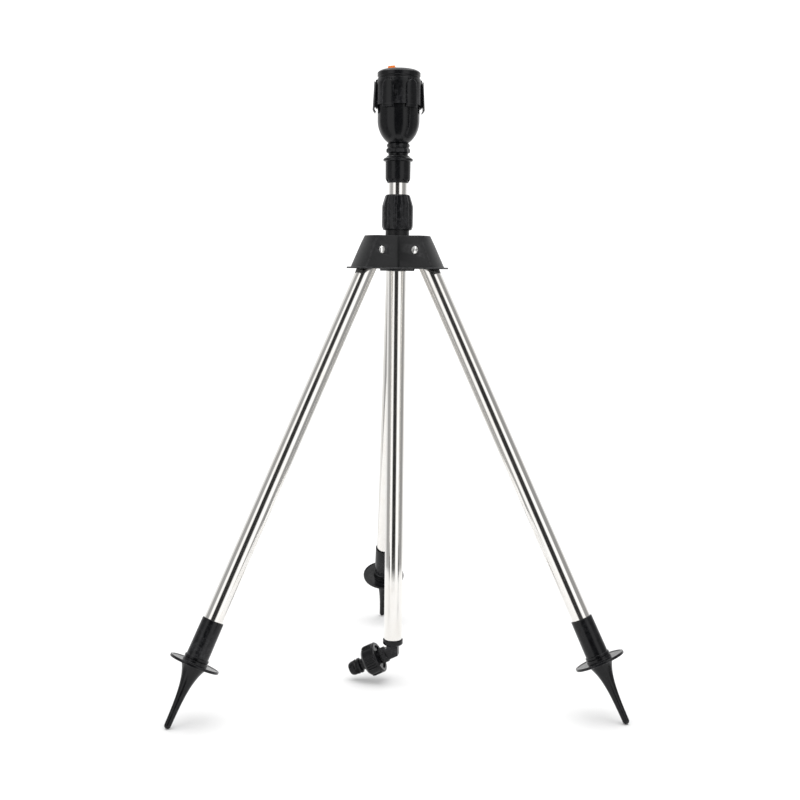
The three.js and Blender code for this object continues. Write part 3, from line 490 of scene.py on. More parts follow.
def ribs_recipe() -> Recipe:
    """Upright round-ended grip ribs in even groups round a nut."""
    sizes = {"Groups": 4, "Per Group": 5, "Pitch": 0.2, "Radius": 16.0, "Width": 1.0, "Depth": 1.0}
    tree = Recipe("grip_ribs", {**sizes, "Start": 0.0, "Length": 16.0})
    groups, per = tree.input("Groups"), tree.input("Per Group")
    points = tree.add("GeometryNodePoints", {"Count": tree.math("MULTIPLY", groups, per)})
    index = tree.add("GeometryNodeInputIndex").outputs[0]
    group = tree.math("FLOOR", tree.math("DIVIDE", index, per))
    inner = tree.math("SUBTRACT", index, tree.math("MULTIPLY", group, per))
    centred = tree.math("SUBTRACT", inner, tree.math("MULTIPLY", tree.math("SUBTRACT", per, 1.0), 0.5))
    base = tree.math("DIVIDE", tree.math("MULTIPLY", group, 2 * math.pi), groups)
    angle = tree.math("MULTIPLY_ADD", centred, tree.input("Pitch"), base)
    across = tree.math("MULTIPLY", tree.math("COSINE", angle), tree.input("Radius"))
    along = tree.math("MULTIPLY", tree.math("SINE", angle), tree.input("Radius"))
    spots = tree.add(
        "GeometryNodeSetPosition", {"Geometry": points.outputs[0], "Position": tree.vector(across, along)}
    )
    start, length = tree.input("Start"), tree.input("Length")
    ends = {"Start": tree.vector(z=start), "End": tree.vector(z=tree.math("ADD", start, length))}
    line = tree.add("GeometryNodeCurvePrimitiveLine", ends)
    fine = tree.add("GeometryNodeResampleCurve", {"Curve": line.outputs[0], "Count": 14})
    share = tree.add("GeometryNodeSplineParameter").outputs["Factor"]
    off = tree.math("ABSOLUTE", tree.math("MULTIPLY_ADD", share, 2.0, -1.0))
    bulge = tree.math("SUBTRACT", 1.0, tree.math("POWER", off, 10.0))
    feeds = {"Curve": fine.outputs[0], "Radius": tree.math("MULTIPLY_ADD", bulge, 0.75, 0.25)}
    rounded = tree.add("GeometryNodeSetCurveRadius", feeds)
    ring = tree.add("GeometryNodeCurvePrimitiveCircle", {"Resolution": 16, "Radius": 1.0})
    rib = swept(tree, rounded.outputs[0], ring.outputs[0])
    feeds = {"Points": spots.outputs[0], "Instance": rib, "Rotation": tree.vector(z=angle)}
    feeds["Scale"] = tree.vector(tree.input("Depth"), tree.input("Width"), 1.0)
    return tree.close(tree.add("GeometryNodeInstanceOnPoints", feeds).outputs[0])


def swept(tree: Recipe, path: bpy.types.NodeSocket, section: bpy.types.NodeSocket) -> bpy.types.NodeSocket:
    """A section carried along a path and capped at both ends."""
    width = tree.add("GeometryNodeInputRadius").outputs[0]
    feeds = {"Curve": path, "Profile Curve": section, "Scale": width, "Fill Caps": True}
    return tree.add("GeometryNodeCurveToMesh", feeds).outputs[0]


def trumpet_recipe() -> Recipe:
    """A ground spike that narrows down -Z from a wide root to a slim round tip."""
    tree = Recipe("trumpet_spike", {"Length": 65.0, "Root": 13.6, "Shank": 3.1, "Fall": 16.0})
    length, shank = tree.input("Length"), tree.input("Shank")
    line = tree.add(
        "GeometryNodeCurvePrimitiveLine", {"End": tree.vector(z=tree.math("MULTIPLY", length, -1.0))}
    )
    fine = tree.add("GeometryNodeResampleCurve", {"Curve": line.outputs[0], "Count": 72})
    run = tree.add("GeometryNodeSplineParameter").outputs["Length"]
    fade = tree.math("EXPONENT", tree.math("MULTIPLY", tree.math("DIVIDE", run, tree.input("Fall")), -1.0))
    flare = tree.math("MULTIPLY_ADD", tree.math("SUBTRACT", tree.input("Root"), shank), fade, shank)
    into = tree.math("MAXIMUM", tree.math("SUBTRACT", run, tree.math("SUBTRACT", length, shank)), 0.0)
    nose = tree.math("DIVIDE", into, shank)
    close = tree.math("SUBTRACT", 1.002, tree.math("MULTIPLY", nose, nose))
    radius = tree.math("MULTIPLY", flare, tree.math("SQRT", tree.math("MAXIMUM", close, 0.002)))
    shaped = tree.add("GeometryNodeSetCurveRadius", {"Curve": fine.outputs[0], "Radius": radius})
    ring = tree.add("GeometryNodeCurvePrimitiveCircle", {"Resolution": 72, "Radius": 1.0})
    return tree.close(swept(tree, shaped.outputs[0], ring.outputs[0]))


def thread_recipe() -> Recipe:
    """Thread crests wound up a neck."""
    tree = Recipe("thread_crests", {"Turns": 4.0, "Radius": 12.7, "Height": 10.0, "Crest": 0.5})
    feeds = {"Resolution": 48, "Rotations": tree.input("Turns"), "Start Radius": tree.input("Radius")}
    feeds |= {"End Radius": tree.input("Radius"), "Height": tree.input("Height")}
    path = tree.add("GeometryNodeCurveSpiral", feeds)
    ring = tree.add("GeometryNodeCurvePrimitiveCircle", {"Resolution": 6, "Radius": tree.input("Crest")})
    return tree.close(swept(tree, path.outputs[0], ring.outputs[0]))


# ------------------------------------------------------------------ finishes


class Shader(Graph):
    """A material's node tree under construction."""

    def __init__(self, name: str) -> None:
        """Starts a material with an empty Principled shader."""
        self.material = bpy.data.materials.new(name)
        self.material.use_nodes = True
        super().__init__(self.material.node_tree)
        self.surface = self.tree.nodes["Principled BSDF"]

    def place(self, scale: Sequence[float], source: str = "Object") -> bpy.types.NodeSocket:
        """Scaled Object or UV coordinates."""
        coordinates = self.add("ShaderNodeTexCoord").outputs[source]
        return self.add("ShaderNodeMapping", {"Vector": coordinates, "Scale": scale}).outputs[0]

    def noise(
        self, vector: bpy.types.NodeSocket, scale: float, detail: float, rough: float = 0.55
    ) -> bpy.types.NodeSocket:
        """Noise between 0 and 1 at a scale."""
        feeds = {"Vector": vector, "Scale": scale, "Detail": detail, "Roughness": rough}
        return self.add("ShaderNodeTexNoise", feeds).outputs["Fac"]

    def spread(
        self, value: bpy.types.NodeSocket, low: float, high: float, start: float = 0.3, end: float = 0.7
    ) -> bpy.types.NodeSocket:
        """A noise value carried into a narrower range."""
        feeds = {0: value, 1: start, 2: end, 3: low, 4: high}
        return self.add("ShaderNodeMapRange", feeds, clamp=True).outputs[0]

    def bump(
        self, height: bpy.types.NodeSocket, distance: float, strength: float, under=None
    ) -> bpy.types.NodeSocket:
        """A bump normal from a height, over another normal if one is given."""
        feeds = {"Height": height, "Distance": distance, "Strength": strength}
        if under:
            feeds["Normal"] = under
        return self.add("ShaderNodeBump", feeds).outputs[0]

    def set(self, **values) -> None:
        """Links or sets the Principled shader's inputs; underscores stand for spaces."""
        for key, value in values.items():
            self.feed(self.surface.inputs[key.replace("_", " ")], value)


@dataclass(frozen=True)
class PlasticFinish:
    """Moulded plastic: mould grain, flow shading, soft handling marks and lighter rubbed edges."""

    name: str
    colour: tuple[float, float, float]
    rubbed: tuple[float, float, float]
    roughness: float
    grain: float = 0.00002
    grain_scale: float = 1400.0
    specular: float = 0.17

    def build(self) -> bpy.types.Material:
        """Makes the material."""
        shade = Shader(self.name)
        place = shade.place((1, 1, 1))
        flow = shade.noise(place, 38, 4)
        marks = shade.noise(place, 260, 6, 0.7)
        grain = shade.noise(place, self.grain_scale, 3)
        pits = shade.noise(place, self.grain_scale * 2.6, 2)
        dark = tuple(0.72 * c for c in self.colour) + (1,)
        base = shade.mix(shade.spread(flow, 0, 1), (*self.colour, 1), dark)
        edge = shade.add("ShaderNodeAttribute", attribute_name="edge").outputs["Fac"]
        worn = shade.math("MULTIPLY", edge, shade.spread(marks, 0.05, 0.9, 0.4, 0.75))
        colour = shade.mix(worn, base, (*self.rubbed, 1))
        rough = shade.spread(marks, self.roughness - 0.05, self.roughness + 0.11)
        rough = shade.math("MULTIPLY_ADD", worn, 0.18, rough)
        soft = shade.bump(flow, 0.00025, 0.12)
        normal = shade.bump(pits, self.grain * 0.5, 0.5, shade.bump(grain, self.grain, 0.8, soft))
        shade.set(Base_Color=colour, Roughness=rough, Normal=normal, Metallic=0.0)
        shade.set(Specular_IOR_Level=self.specular)
        return shade.material


@dataclass(frozen=True)
class SteelFinish:
    """Polished steel with fine drawing lines along the piece, faint smears and pin scratches."""

    name: str
    colour: tuple[float, float, float]
    roughness: float
    streaks: float = 0.000004
    source: str = "UV"

    def build(self) -> bpy.types.Material:
        """Makes the material."""
        shade = Shader(self.name)
        lines = shade.place((260, 0.02, 1) if self.source == "UV" else (3000, 3000, 60), self.source)
        drawn = shade.noise(lines, 1.0, 3, 0.6)
        fine = shade.noise(
            shade.place((700, 0.1, 1) if self.source == "UV" else (5000, 5000, 300), self.source), 1.0, 2
        )
        smear = shade.noise(shade.place((1, 1, 1)), 46, 5, 0.6)
        warm = tuple(c * k for c, k in zip(self.colour, (0.93, 0.9, 0.86))) + (1,)
        colour = shade.mix(shade.spread(smear, 0, 0.55), (*self.colour, 1), warm)
        rough = shade.spread(smear, self.roughness - 0.03, self.roughness + 0.07)
        rough = shade.math("MULTIPLY_ADD", drawn, 0.06, rough)
        normal = shade.bump(fine, self.streaks * 0.5, 0.5, shade.bump(drawn, self.streaks, 0.7))
        shade.set(Base_Color=colour, Roughness=rough, Normal=normal, Metallic=1.0)
        return shade.material


class Finish(Enum):
    """The finishes of the sprinkler, by the record's material slots."""

    HOUSING = PlasticFinish(
        "housing", (0.0085, 0.0088, 0.0096), (0.05, 0.05, 0.053), 0.36, 0.000014, 1700.0, specular=0.3
    )
    MOULDING = PlasticFinish(
        "moulding", (0.0035, 0.0037, 0.0044), (0.035, 0.035, 0.038), 0.17, 0.000004, 1200.0, specular=0.24
    )
    STAINLESS = SteelFinish("stainless", (0.83, 0.82, 0.80), 0.07)
    SCREW_STEEL = SteelFinish("screw_steel", (0.86, 0.86, 0.85), 0.16, 0.000008, "Object")
    RUBBER = PlasticFinish("rubber", (0.007, 0.007, 0.0075), (0.05, 0.05, 0.05), 0.66, 0.00004, 1900.0)
    NOZZLE_ORANGE = PlasticFinish(
        "nozzle_orange", (0.80, 0.19, 0.015), (0.9, 0.42, 0.16), 0.3, 0.00001, 1100.0
    )
    GEAR_WHITE = PlasticFinish("gear_white", (0.72, 0.69, 0.61), (0.85, 0.83, 0.78), 0.4, 0.00002, 1500.0)

    @property
    def slot(self) -> str:
        """The record's slot of this finish."""
        return self.value.name


class Workshop:
    """Finishes, node trees and the way each piece becomes part of the scene."""

    def __init__(self) -> None:
        """Builds every finish and every Geometry Nodes tree once."""
        self.paint = {finish: finish.value.build() for finish in Finish}
        self.copies = copies_recipe()
        self.ribs = ribs_recipe()
        self.trumpet = trumpet_recipe()
        self.thread = thread_recipe()

    def ring(self, bm: bmesh.types.BMesh, count: int, first: float = 0.0) -> bmesh.types.BMesh:
        """Copies of a shell round Z, the first at an angle in radians."""
        return self.copies.made({"Count": count, "First": first}, self.paint[Finish.MOULDING], bm)

    def crests(
        self, turns: float, radius: float, start: float, height: float, crest: float
    ) -> bmesh.types.BMesh:
        """Thread crests on a neck that starts at a height."""
        values = {"Turns": turns, "Radius": radius, "Height": height, "Crest": crest}
        bm = self.thread.made(values, self.paint[Finish.MOULDING])
        return moved(bm, Matrix.Translation((0, 0, start)))

    def fit(
        self, name: str, bm: bmesh.types.BMesh, finish: Finish, body: str, nodes: Sequence[str],
        place: Matrix = UPRIGHT
    ) -> bpy.types.Object:
        """Turns a shell into a dressed piece that rides on its body.

        Args:
            name: The piece's name.
            bm: Its mesh in millimetres, used up here.
            finish: Its finish.
            body: The frame's body that it moves with.
            nodes: The nodes that it stands for.
            place: Carries the mesh to its place, in millimetres.

        Returns:
            The new object.
        """
        bm.transform(Matrix.Diagonal((MM, MM, MM, 1)) @ place)
        mark_edges(bm)
        mesh = bpy.data.meshes.new(name)
        bm.to_mesh(mesh)
        bm.free()
        mesh.shade_smooth()
        mesh.set_sharp_from_angle(angle=SHARP)
        mesh.materials.clear()
        mesh.materials.append(self.paint[finish])
        piece = bpy.data.objects.new(name, mesh)
        bpy.context.scene.collection.objects.link(piece)
        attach(piece, body)
        if nodes:
            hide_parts(*nodes)
        LOG.info("%s: %d faces, on %s", name, len(mesh.polygons), body)
        return piece

    def dress(self, node: str, finish: Finish) -> None:
        """Gives a node of the frame that keeps its shape its own finish."""
        thing = frame["nodes"][node]
        thing.data.materials.clear()
        thing.data.materials.append(self.paint[finish])
        LOG.info("%s keeps its shape, finish %s", node, finish.slot)


def mark_edges(bm: bmesh.types.BMesh) -> None:
    """Stores how exposed each point's convex edges are, for the rubbed look of edges."""
    layer = bm.verts.layers.float.new("edge")
    for vert in bm.verts:
        turn = 0.0
        for edge in vert.link_edges:
            if len(edge.link_faces) == 2 and edge.is_convex:
                turn = max(turn, edge.calc_face_angle(0.0))
        vert[layer] = min(1.0, turn / math.radians(24))


# ------------------------------------------------------------------ hub


@dataclass
class Hub:
    """The Y-shaped housing, its threaded neck and the three pivots' hardware."""

    shop: Workshop
    top_half_width: float = 13.35
    bottom_half_width: float = 15.5
    top_end: float = 34.7
    bottom_end: float = 50.4
    corner: float = 1.6
    valley: float = 2.0
    lip_side: float = 2.0
    lip_end: float = 3.4
    wall: float = 1.9
    roof: float = 3.0
    neck: float = 12.7
    bore: float = 9.8
    slot_start: float = 15.0
    screw_seat: float = 13.7
    screw_head: float = 3.7
    screw_height: float = 2.1
    pin: float = 2.3
    slot_width: float = 19.6
    above_pivot: float = 14.7
    top_round: float = 0.8
    rim: float = 0.55
    crest: float = 0.45

    def __post_init__(self) -> None:
        """Reads the hub's levels from the frame."""
        span = Span.of("hub_housing")
        self.low = span.low.z
        self.neck_top = span.high.z
        self.pivot = Vector(joint("leg_fold_right")["pos_m"]) / MM - Vector((AXIS.x, AXIS.y, 0))
        self.pivot_radius = math.hypot(self.pivot.x, self.pivot.y)
        self.high = self.pivot.z + self.above_pivot

    def outline(self, half_width: float, end: float, corner: float) -> list[Vector]:
        """The three arms' plane outline.

        Args:
            half_width: Half the width of each arm.
            end: Radius of the arc, about the axis, that ends each arm.
            corner: Radius of its outer corners.

        Returns:
            The outline, anticlockwise.
        """
        start = half_width / math.tan(math.radians(60)) + self.valley
        swing = math.asin((half_width - corner) / (end - corner))
        half = [Vector((start, half_width))]
        centre = (end - corner) * Vector((math.cos(swing), math.sin(swing)))
        for k in range(7):
            turn = math.pi / 2 + (swing - math.pi / 2) * k / 6
            half.append(centre + corner * Vector((math.cos(turn), math.sin(turn))))
        half += [end * Vector((math.cos(swing * k / 7), math.sin(swing * k / 7))) for k in range(6, 0, -1)]
        mirrored = [Vector((p.x, -p.y)) for p in half]
        arm = [*mirrored, Vector((end, 0)), *reversed(half)]
        points = []
        for side in Side:
            turn = Matrix.Rotation(math.radians(side.value), 2)
            points += [turn @ p for p in arm]
        return points

    def at(self, z: float, inset: float = 0.0) -> list[Vector]:
        """The housing's outline at a height, taken in by an inset."""
        share = (self.high - z) / (self.high - self.low)
        half_width = self.top_half_width + share * (self.bottom_half_width - self.top_half_width)
        end = self.end_at(z) - inset
        return self.outline(half_width - inset, end, max(0.3, self.corner - inset))

    def end_at(self, z: float) -> float:
        """How far out an arm's end face lies at a height."""
        share = (self.high - z) / (self.high - self.low)
        return self.top_end + share * (self.bottom_end - self.top_end)

    def arm_cuts(self) -> bmesh.types.BMesh:
        """Leg slot, screw hole and screw seats of the arm along +X."""
        roof = self.high - self.roof
        under = self.low - 3
        inside = [
            (0, under), (self.end_at(under) - self.wall, under), (self.end_at(roof) - self.wall, roof),
            (0, roof)
        ]
        reach = 70.0
        box = block((reach, self.slot_width, 99), (self.slot_start + reach / 2, 0, self.low))
        slot = combined(spun(inside), box, Cut.KEEP)
        across = Matrix.Translation((self.pivot_radius, 0, self.pivot.z)) @ turned_about(math.pi / 2, "X")
        hole = moved(bar(self.pin, -20, 20, 32), across)
        seats = [moved(bar(self.screw_head + 0.5, self.screw_seat, 22, 48), across)]
        seats.append(moved(bar(self.screw_head + 0.5, -22, -self.screw_seat, 48), across))
        for tool in (hole, *seats):
            slot = combined(slot, tool, Cut.JOIN)
        return slot

    def housing(self) -> bmesh.types.BMesh:
        """The whole moulding."""
        edge = self.top_round
        levels = [(self.low + 0.4, self.at(self.low))]
        levels += [(self.low + 1.8 + k, self.at(self.low + 1.8 + k)) for k in (0, 8, 16, 24)]
        for k in range(7):
            swing = math.radians(90 * k / 6)
            levels.append(
                (self.high - edge * (1 - math.sin(swing)), self.at(self.high, edge * (1 - math.cos(swing))))
            )
        body = stacked(levels)
        flange = []
        rim = self.rim
        for z, inset in (
            (0, rim), (rim * 0.3, rim * 0.3), (rim, 0), (1.25, 0), (1.6, rim * 0.3), (1.8, rim)
        ):
            width = self.bottom_half_width + self.lip_side - inset
            flange.append(
                (
                    self.low + z,
                    self.outline(width, self.bottom_end + self.lip_end - inset, self.corner + 0.8)
                )
            )
        neck_low = self.high - 1
        root = self.neck - self.crest
        neck = spun([(0, neck_low), (root, neck_low), (root, self.neck_top, 0.8), (0, self.neck_top)])
        foot = [(0, self.low - 2.2), (17.5, self.low - 2.2, 0.8), (18.2, self.low + 1), (0, self.low + 1)]
        whole = body
        for part in (stacked(flange), neck, spun(foot, ripple=lambda a, z: 0.6 * math.cos(9 * a))):
            whole = combined(whole, part, Cut.JOIN)
        whole = combined(whole, bar(self.bore, self.low - 5, self.neck_top + 5, SIDES), Cut.AWAY)
        for side in Side:
            tool = moved(self.arm_cuts(), turned_about(math.radians(side.value)))
            whole = combined(whole, tool, Cut.AWAY)
        return whole

    def screw(self) -> bmesh.types.BMesh:
        """Slotted pan-head screw of the arm along +X, its head on the -Y side."""
        seat = self.screw_seat + GAP
        head, height = self.screw_head, self.screw_height
        profile = [(0, -self.screw_seat - 1.1), (2, -self.screw_seat - 1.1, 0.4), (2, seat)]
        profile += [(head + 0.15, seat), (head + 0.15, seat + 0.5, 0.2), (head, seat + 0.55, 0.2)]
        profile += [(head, seat + height * 0.6, 1.3), (0, seat + height)]
        pan = spun(profile, 64, steps=7)
        pan = combined(pan, block((head * 2.4, 1.0, 2), (0, 0, seat + height)), Cut.AWAY)
        lie = turned_about(math.pi / 2, "X") @ turned_about(math.radians(80))
        return moved(pan, Matrix.Translation((self.pivot_radius, 0, self.pivot.z)) @ lie)

    def nut(self) -> bmesh.types.BMesh:
        """Domed nut of the arm along +X, on its +Y side."""
        seat = self.screw_seat + GAP
        head, height = self.screw_head, self.screw_height
        swings = [k * math.pi / 16 for k in range(1, 8)]
        profile = [(0, seat + 1.4), (self.pin, seat + 1.4), (self.pin, seat), (head + 0.15, seat)]
        profile += [(head + 0.15, seat + 0.5, 0.2), (head, seat + 0.6, 0.2)]
        profile += [(head * math.cos(a), seat + 0.7 + (height - 0.7) * math.sin(a)) for a in swings]
        profile += [(0, seat + height)]
        lie = turned_about(-math.pi / 2, "X")
        return moved(spun(profile, 64), Matrix.Translation((self.pivot_radius, 0, self.pivot.z)) @ lie)

    def build(self) -> None:
        """Makes the hub's pieces."""
        shop = self.shop
        crests = shop.crests(3.2, self.neck - self.crest, self.high + 0.6, 8.5, 0.5)
        housing = together([self.housing(), crests])
        shop.fit("hub_moulding", housing, Finish.HOUSING, "hub", ["hub_housing"])
        first = math.radians(Side.REAR.value)
        screws = shop.ring(self.screw(), 3, first)
        shop.fit("pivot_screws", screws, Finish.SCREW_STEEL, "hub", [f"pivot_screw_{s.word}" for s in Side])
        nuts = shop.ring(self.nut(), 3, first)
        shop.fit("pivot_nuts", nuts, Finish.SCREW_STEEL, "hub", [f"pivot_nut_{s.word}" for s in Side])


# ------------------------------------------------------------------ legs


@dataclass
class Leg:
    """One folding leg: knuckle, polished tube and ground foot."""

    shop: Workshop
    side: Side
    tube: float = 9.5
    tube_wall: float = 0.9
    tongue: float = 15.0
    sleeve: float = 11.0
    sleeve_ring: float = 12.3
    disc: float = 25.2
    spike_root: float = 13.6
    spike_shank: float = 3.1
    spike_fall: float = 16.0
    spike_length: float = 67.5
    plug_length: float = 24.0
    eye: float = 7.5
    eye_half: float = 9.4
    pin: float = 2.3

    def knuckle(self) -> bmesh.types.BMesh:
        """Flattened eye that turns on the pivot, with the plug that fills the tube's end."""
        collar = leg_reach(f"leg_tube_{self.side.word}", self.side)[0] - GAP
        plug = self.tube - self.tube_wall - GAP
        deep = -collar - self.plug_length
        stem = [(0, deep), (plug, deep, 1), (plug, -collar), (self.tube, -collar, 0.3)]
        stem += [
            (self.tube, -collar + 2.5, 0.8), (self.tube - 0.8, -collar + 2.8), (self.tube - 0.8, 0), (0, 0)
        ]
        bar_shape = combined(spun(stem), block((self.tongue, 40, 200), (0, 0, 75 - collar + 2.6)), Cut.KEEP)
        rest = spun(stem[:6] + [(0, -collar + 2.8)])
        half = self.eye_half
        eye = spun([(0, -half), (self.eye, -half, 0.6), (self.eye, half, 0.6), (0, half)])
        eye = moved(eye, turned_about(math.pi / 2, "X"))
        whole = combined(combined(bar_shape, rest, Cut.JOIN), eye, Cut.JOIN)
        return combined(whole, moved(bar(self.pin, -20, 20), turned_about(math.pi / 2, "X")), Cut.AWAY)

    def foot(self) -> bmesh.types.BMesh:
        """Sleeve, tread disc and trumpet spike in one moulding."""
        start, tip = leg_reach(f"foot_{self.side.word}", self.side)
        disc = tip - self.spike_length
        root = disc + 2.2
        body = [
            (0, -(disc - 3.7)), (9.8, -(disc - 3.7)), (9.8, -start, 0.3), (self.sleeve - 0.1, -start, 0.7),
            (self.sleeve + 0.25, -(disc - 6.4)), (self.sleeve_ring, -(disc - 6.0), 0.5),
            (self.sleeve_ring, -(disc - 3.5), 0.4),
            (self.sleeve_ring - 0.6, -(disc - 3.1), 0.2), (self.sleeve_ring, -(disc - 2.7), 0.4),
            (self.sleeve_ring + 0.2, -disc, 0.6),
            (self.disc - 2.2, -disc, 0.5), (self.disc - 1.6, -(disc - 0.5), 0.4),
            (self.disc, -(disc - 0.5), 0.6),
            (self.disc, -root, 0.7), (self.disc - 1.8, -root, 0.4), (self.disc - 2.3, -(root - 0.5), 0.4),
            (0, -(root - 0.5)),
        ]
        values = {
            "Length": tip - root + 0.5, "Root": self.spike_root, "Shank": self.spike_shank,
            "Fall": self.spike_fall
        }
        spike = self.shop.trumpet.made(values, self.shop.paint[Finish.MOULDING])
        spike = moved(spike, Matrix.Translation((0, 0, -(root - 0.5))))
        return together([spun(body), spike])

    def build(self) -> None:
        """Makes the leg's pieces."""
        word = self.side.word
        body = f"leg_{word}"
        place = leg_place(self.side)
        near, far = leg_reach(f"leg_tube_{word}", self.side)
        inner = self.tube - self.tube_wall
        tube = spun([(inner, -far), (self.tube, -far, 0.3), (self.tube, -near, 0.35), (inner, -near, 0.2)])
        self.shop.fit(
            f"knuckle_{word}", self.knuckle(), Finish.MOULDING, body, [f"leg_knuckle_{word}"], place
        )
        self.shop.fit(f"tube_{word}", tube, Finish.STAINLESS, body, [f"leg_tube_{word}"], place)
        self.shop.fit(f"ground_foot_{word}", self.foot(), Finish.MOULDING, body, [f"foot_{word}"], place)


# ------------------------------------------------------------------ clamp and riser


@dataclass
class Clamp:
    """Ribbed nut that closes the collet on the riser."""

    shop: Workshop
    body: float = 15.15
    ribs: int = 14
    rib_half_width: float = 2.0
    rib_depth: float = 0.8
    cone: float = 9.5
    top: float = 11.9
    bore: float = 9.9

    def build(self) -> None:
        """Makes the nut and dresses the hidden collet and washer."""
        span = Span.of("clamp_nut")
        low, high = span.low.z, span.high.z
        shoulder = high - self.cone
        inner = [(self.bore, high, 0.3), (self.bore, high - 6), (13.0, high - 12), (13.0, low, 0.4)]
        outer = [(self.body - 0.4, low, 0.8), (self.body, low + 1.2), (self.body, shoulder, 0.7)]
        outer += [(self.top + 0.75, high - 1.3, 0.5), (self.top, high, 0.35)]
        shell = spun(inner + outer, ripple=self.flutes(shoulder, high))
        ring = {"Groups": self.ribs, "Per Group": 1, "Pitch": 0.0, "Radius": self.body - 0.5}
        size = {"Width": self.rib_half_width, "Depth": self.rib_depth + 0.5}
        ribs = self.shop.ribs.made(
            {**ring, **size, "Start": low + 0.9, "Length": shoulder - low - 0.3},
            self.shop.paint[Finish.MOULDING]
        )
        self.shop.fit(
            "clamp_nut_ribbed", together([shell, ribs]), Finish.MOULDING, "clamp_nut", ["clamp_nut"]
        )
        self.shop.dress("collet", Finish.GEAR_WHITE)
        self.shop.dress("clamp_washer", Finish.RUBBER)

    def flutes(self, shoulder: float, high: float) -> Ripple:
        """Shallow flutes that run up the nut's cone in line with its ribs."""

        def depth(angle: float, height: float) -> float:
            """Change of radius at an angle and a height."""
            if height < shoulder - 1 or height > high - 0.9:
                return 0.0
            return 0.28 * math.cos(self.ribs * angle)

        return depth


@dataclass
class Riser:
    """Polished riser, its coupling and the neck that carries the head."""

    shop: Workshop
    radius: float = 9.5
    wall: float = 0.9
    coupling: float = 13.0
    flange: float = 15.3
    hex_corner: float = 12.4

    def coupling_shell(self) -> bmesh.types.BMesh:
        """Coupling with its stop flange and a scalloped lower rim."""
        span = Span.of("riser_coupling")
        low, high = span.low.z, span.high.z
        flange = high - 5.6
        shell = spun([
            (9.8, low, 0.3), (self.coupling - 2.3, low, 0.5), (self.coupling - 0.15, low + 4, 1.2),
            (self.coupling, flange - 0.4, 0.3),
            (self.flange, flange + 0.4, 0.7), (self.flange, flange + 2.4, 0.8),
            (self.coupling - 0.6, flange + 4.2, 1.2),
            (self.coupling - 1.6, high, 0.4), (8.5, high), (8.5, flange), (9.8, flange),
        ])
        scallop = moved(
            bar(2.4, -3, 3, 32),
            Matrix.Translation((self.coupling + 1.0, 0, low + 1.2)) @ turned_about(math.pi / 2, "Y")
        )
        return combined(shell, self.shop.ring(scallop, 8, math.radians(22)), Cut.AWAY)

    def neck(self) -> bmesh.types.BMesh:
        """Threaded neck with wrench flats and a groove round them."""
        flange_top = Span.of("riser_coupling").high.z
        span = Span.of("neck_adapter")
        base = flange_top + GAP
        top = Span.of("bowl").low.z - GAP
        r = self.hex_corner
        groove = base + (top - base) * 0.62
        profile = [
            (0, base), (r - 2.4, base, 0.3), (r - 2.2, base + 2.0, 0.5), (r - 0.1, base + 3.2, 0.7),
            (r, groove - 1.8, 0.9),
            (r - 1.6, groove, 0.8), (r - 0.4, groove + 1.7, 0.9), (r - 0.9, top - 1.3, 0.6),
            (r - 2.1, top, 0.3), (0, top),
        ]
        wide = 1.07 * r
        hexagon = [
            Vector((wide * math.cos(a), wide * math.sin(a))) for a in (
                math.radians(60 * k + 4) for k in range(6)
            )
        ]
        hexed = combined(spun(profile), stacked([(base - 1, hexagon), (top + 1, hexagon)]), Cut.KEEP)
        ends = spun(
            [
                (4.6, span.low.z, 0.4), (8.2, span.low.z, 0.4), (8.2, base + 1), (7.2, top - 1),
                (7.2, span.high.z, 0.4), (4.6, span.high.z, 0.4)
            ]
        )
        bored = combined(hexed, bar(4.7, base - 1, top + 1, 64), Cut.AWAY)
        return combined(bored, ends, Cut.JOIN)

    def build(self) -> None:
        """Makes the riser's pieces."""
        shop = self.shop
        span = Span.of("riser_tube")
        inner = self.radius - self.wall
        tube = spun(
            [
                (inner, span.low.z), (self.radius, span.low.z, 0.3), (self.radius, span.high.z, 0.3),
                (inner, span.high.z)
            ]
        )
        shop.fit("riser_tube_polished", tube, Finish.STAINLESS, "riser", ["riser_tube"])
        shop.fit(
            "riser_coupling_shell", self.coupling_shell(), Finish.MOULDING, "riser", ["riser_coupling"]
        )
        shop.fit("neck_with_flats", self.neck(), Finish.MOULDING, "riser", ["neck_adapter"])
        shop.dress("coupling_washer", Finish.RUBBER)


# ------------------------------------------------------------------ rotating head


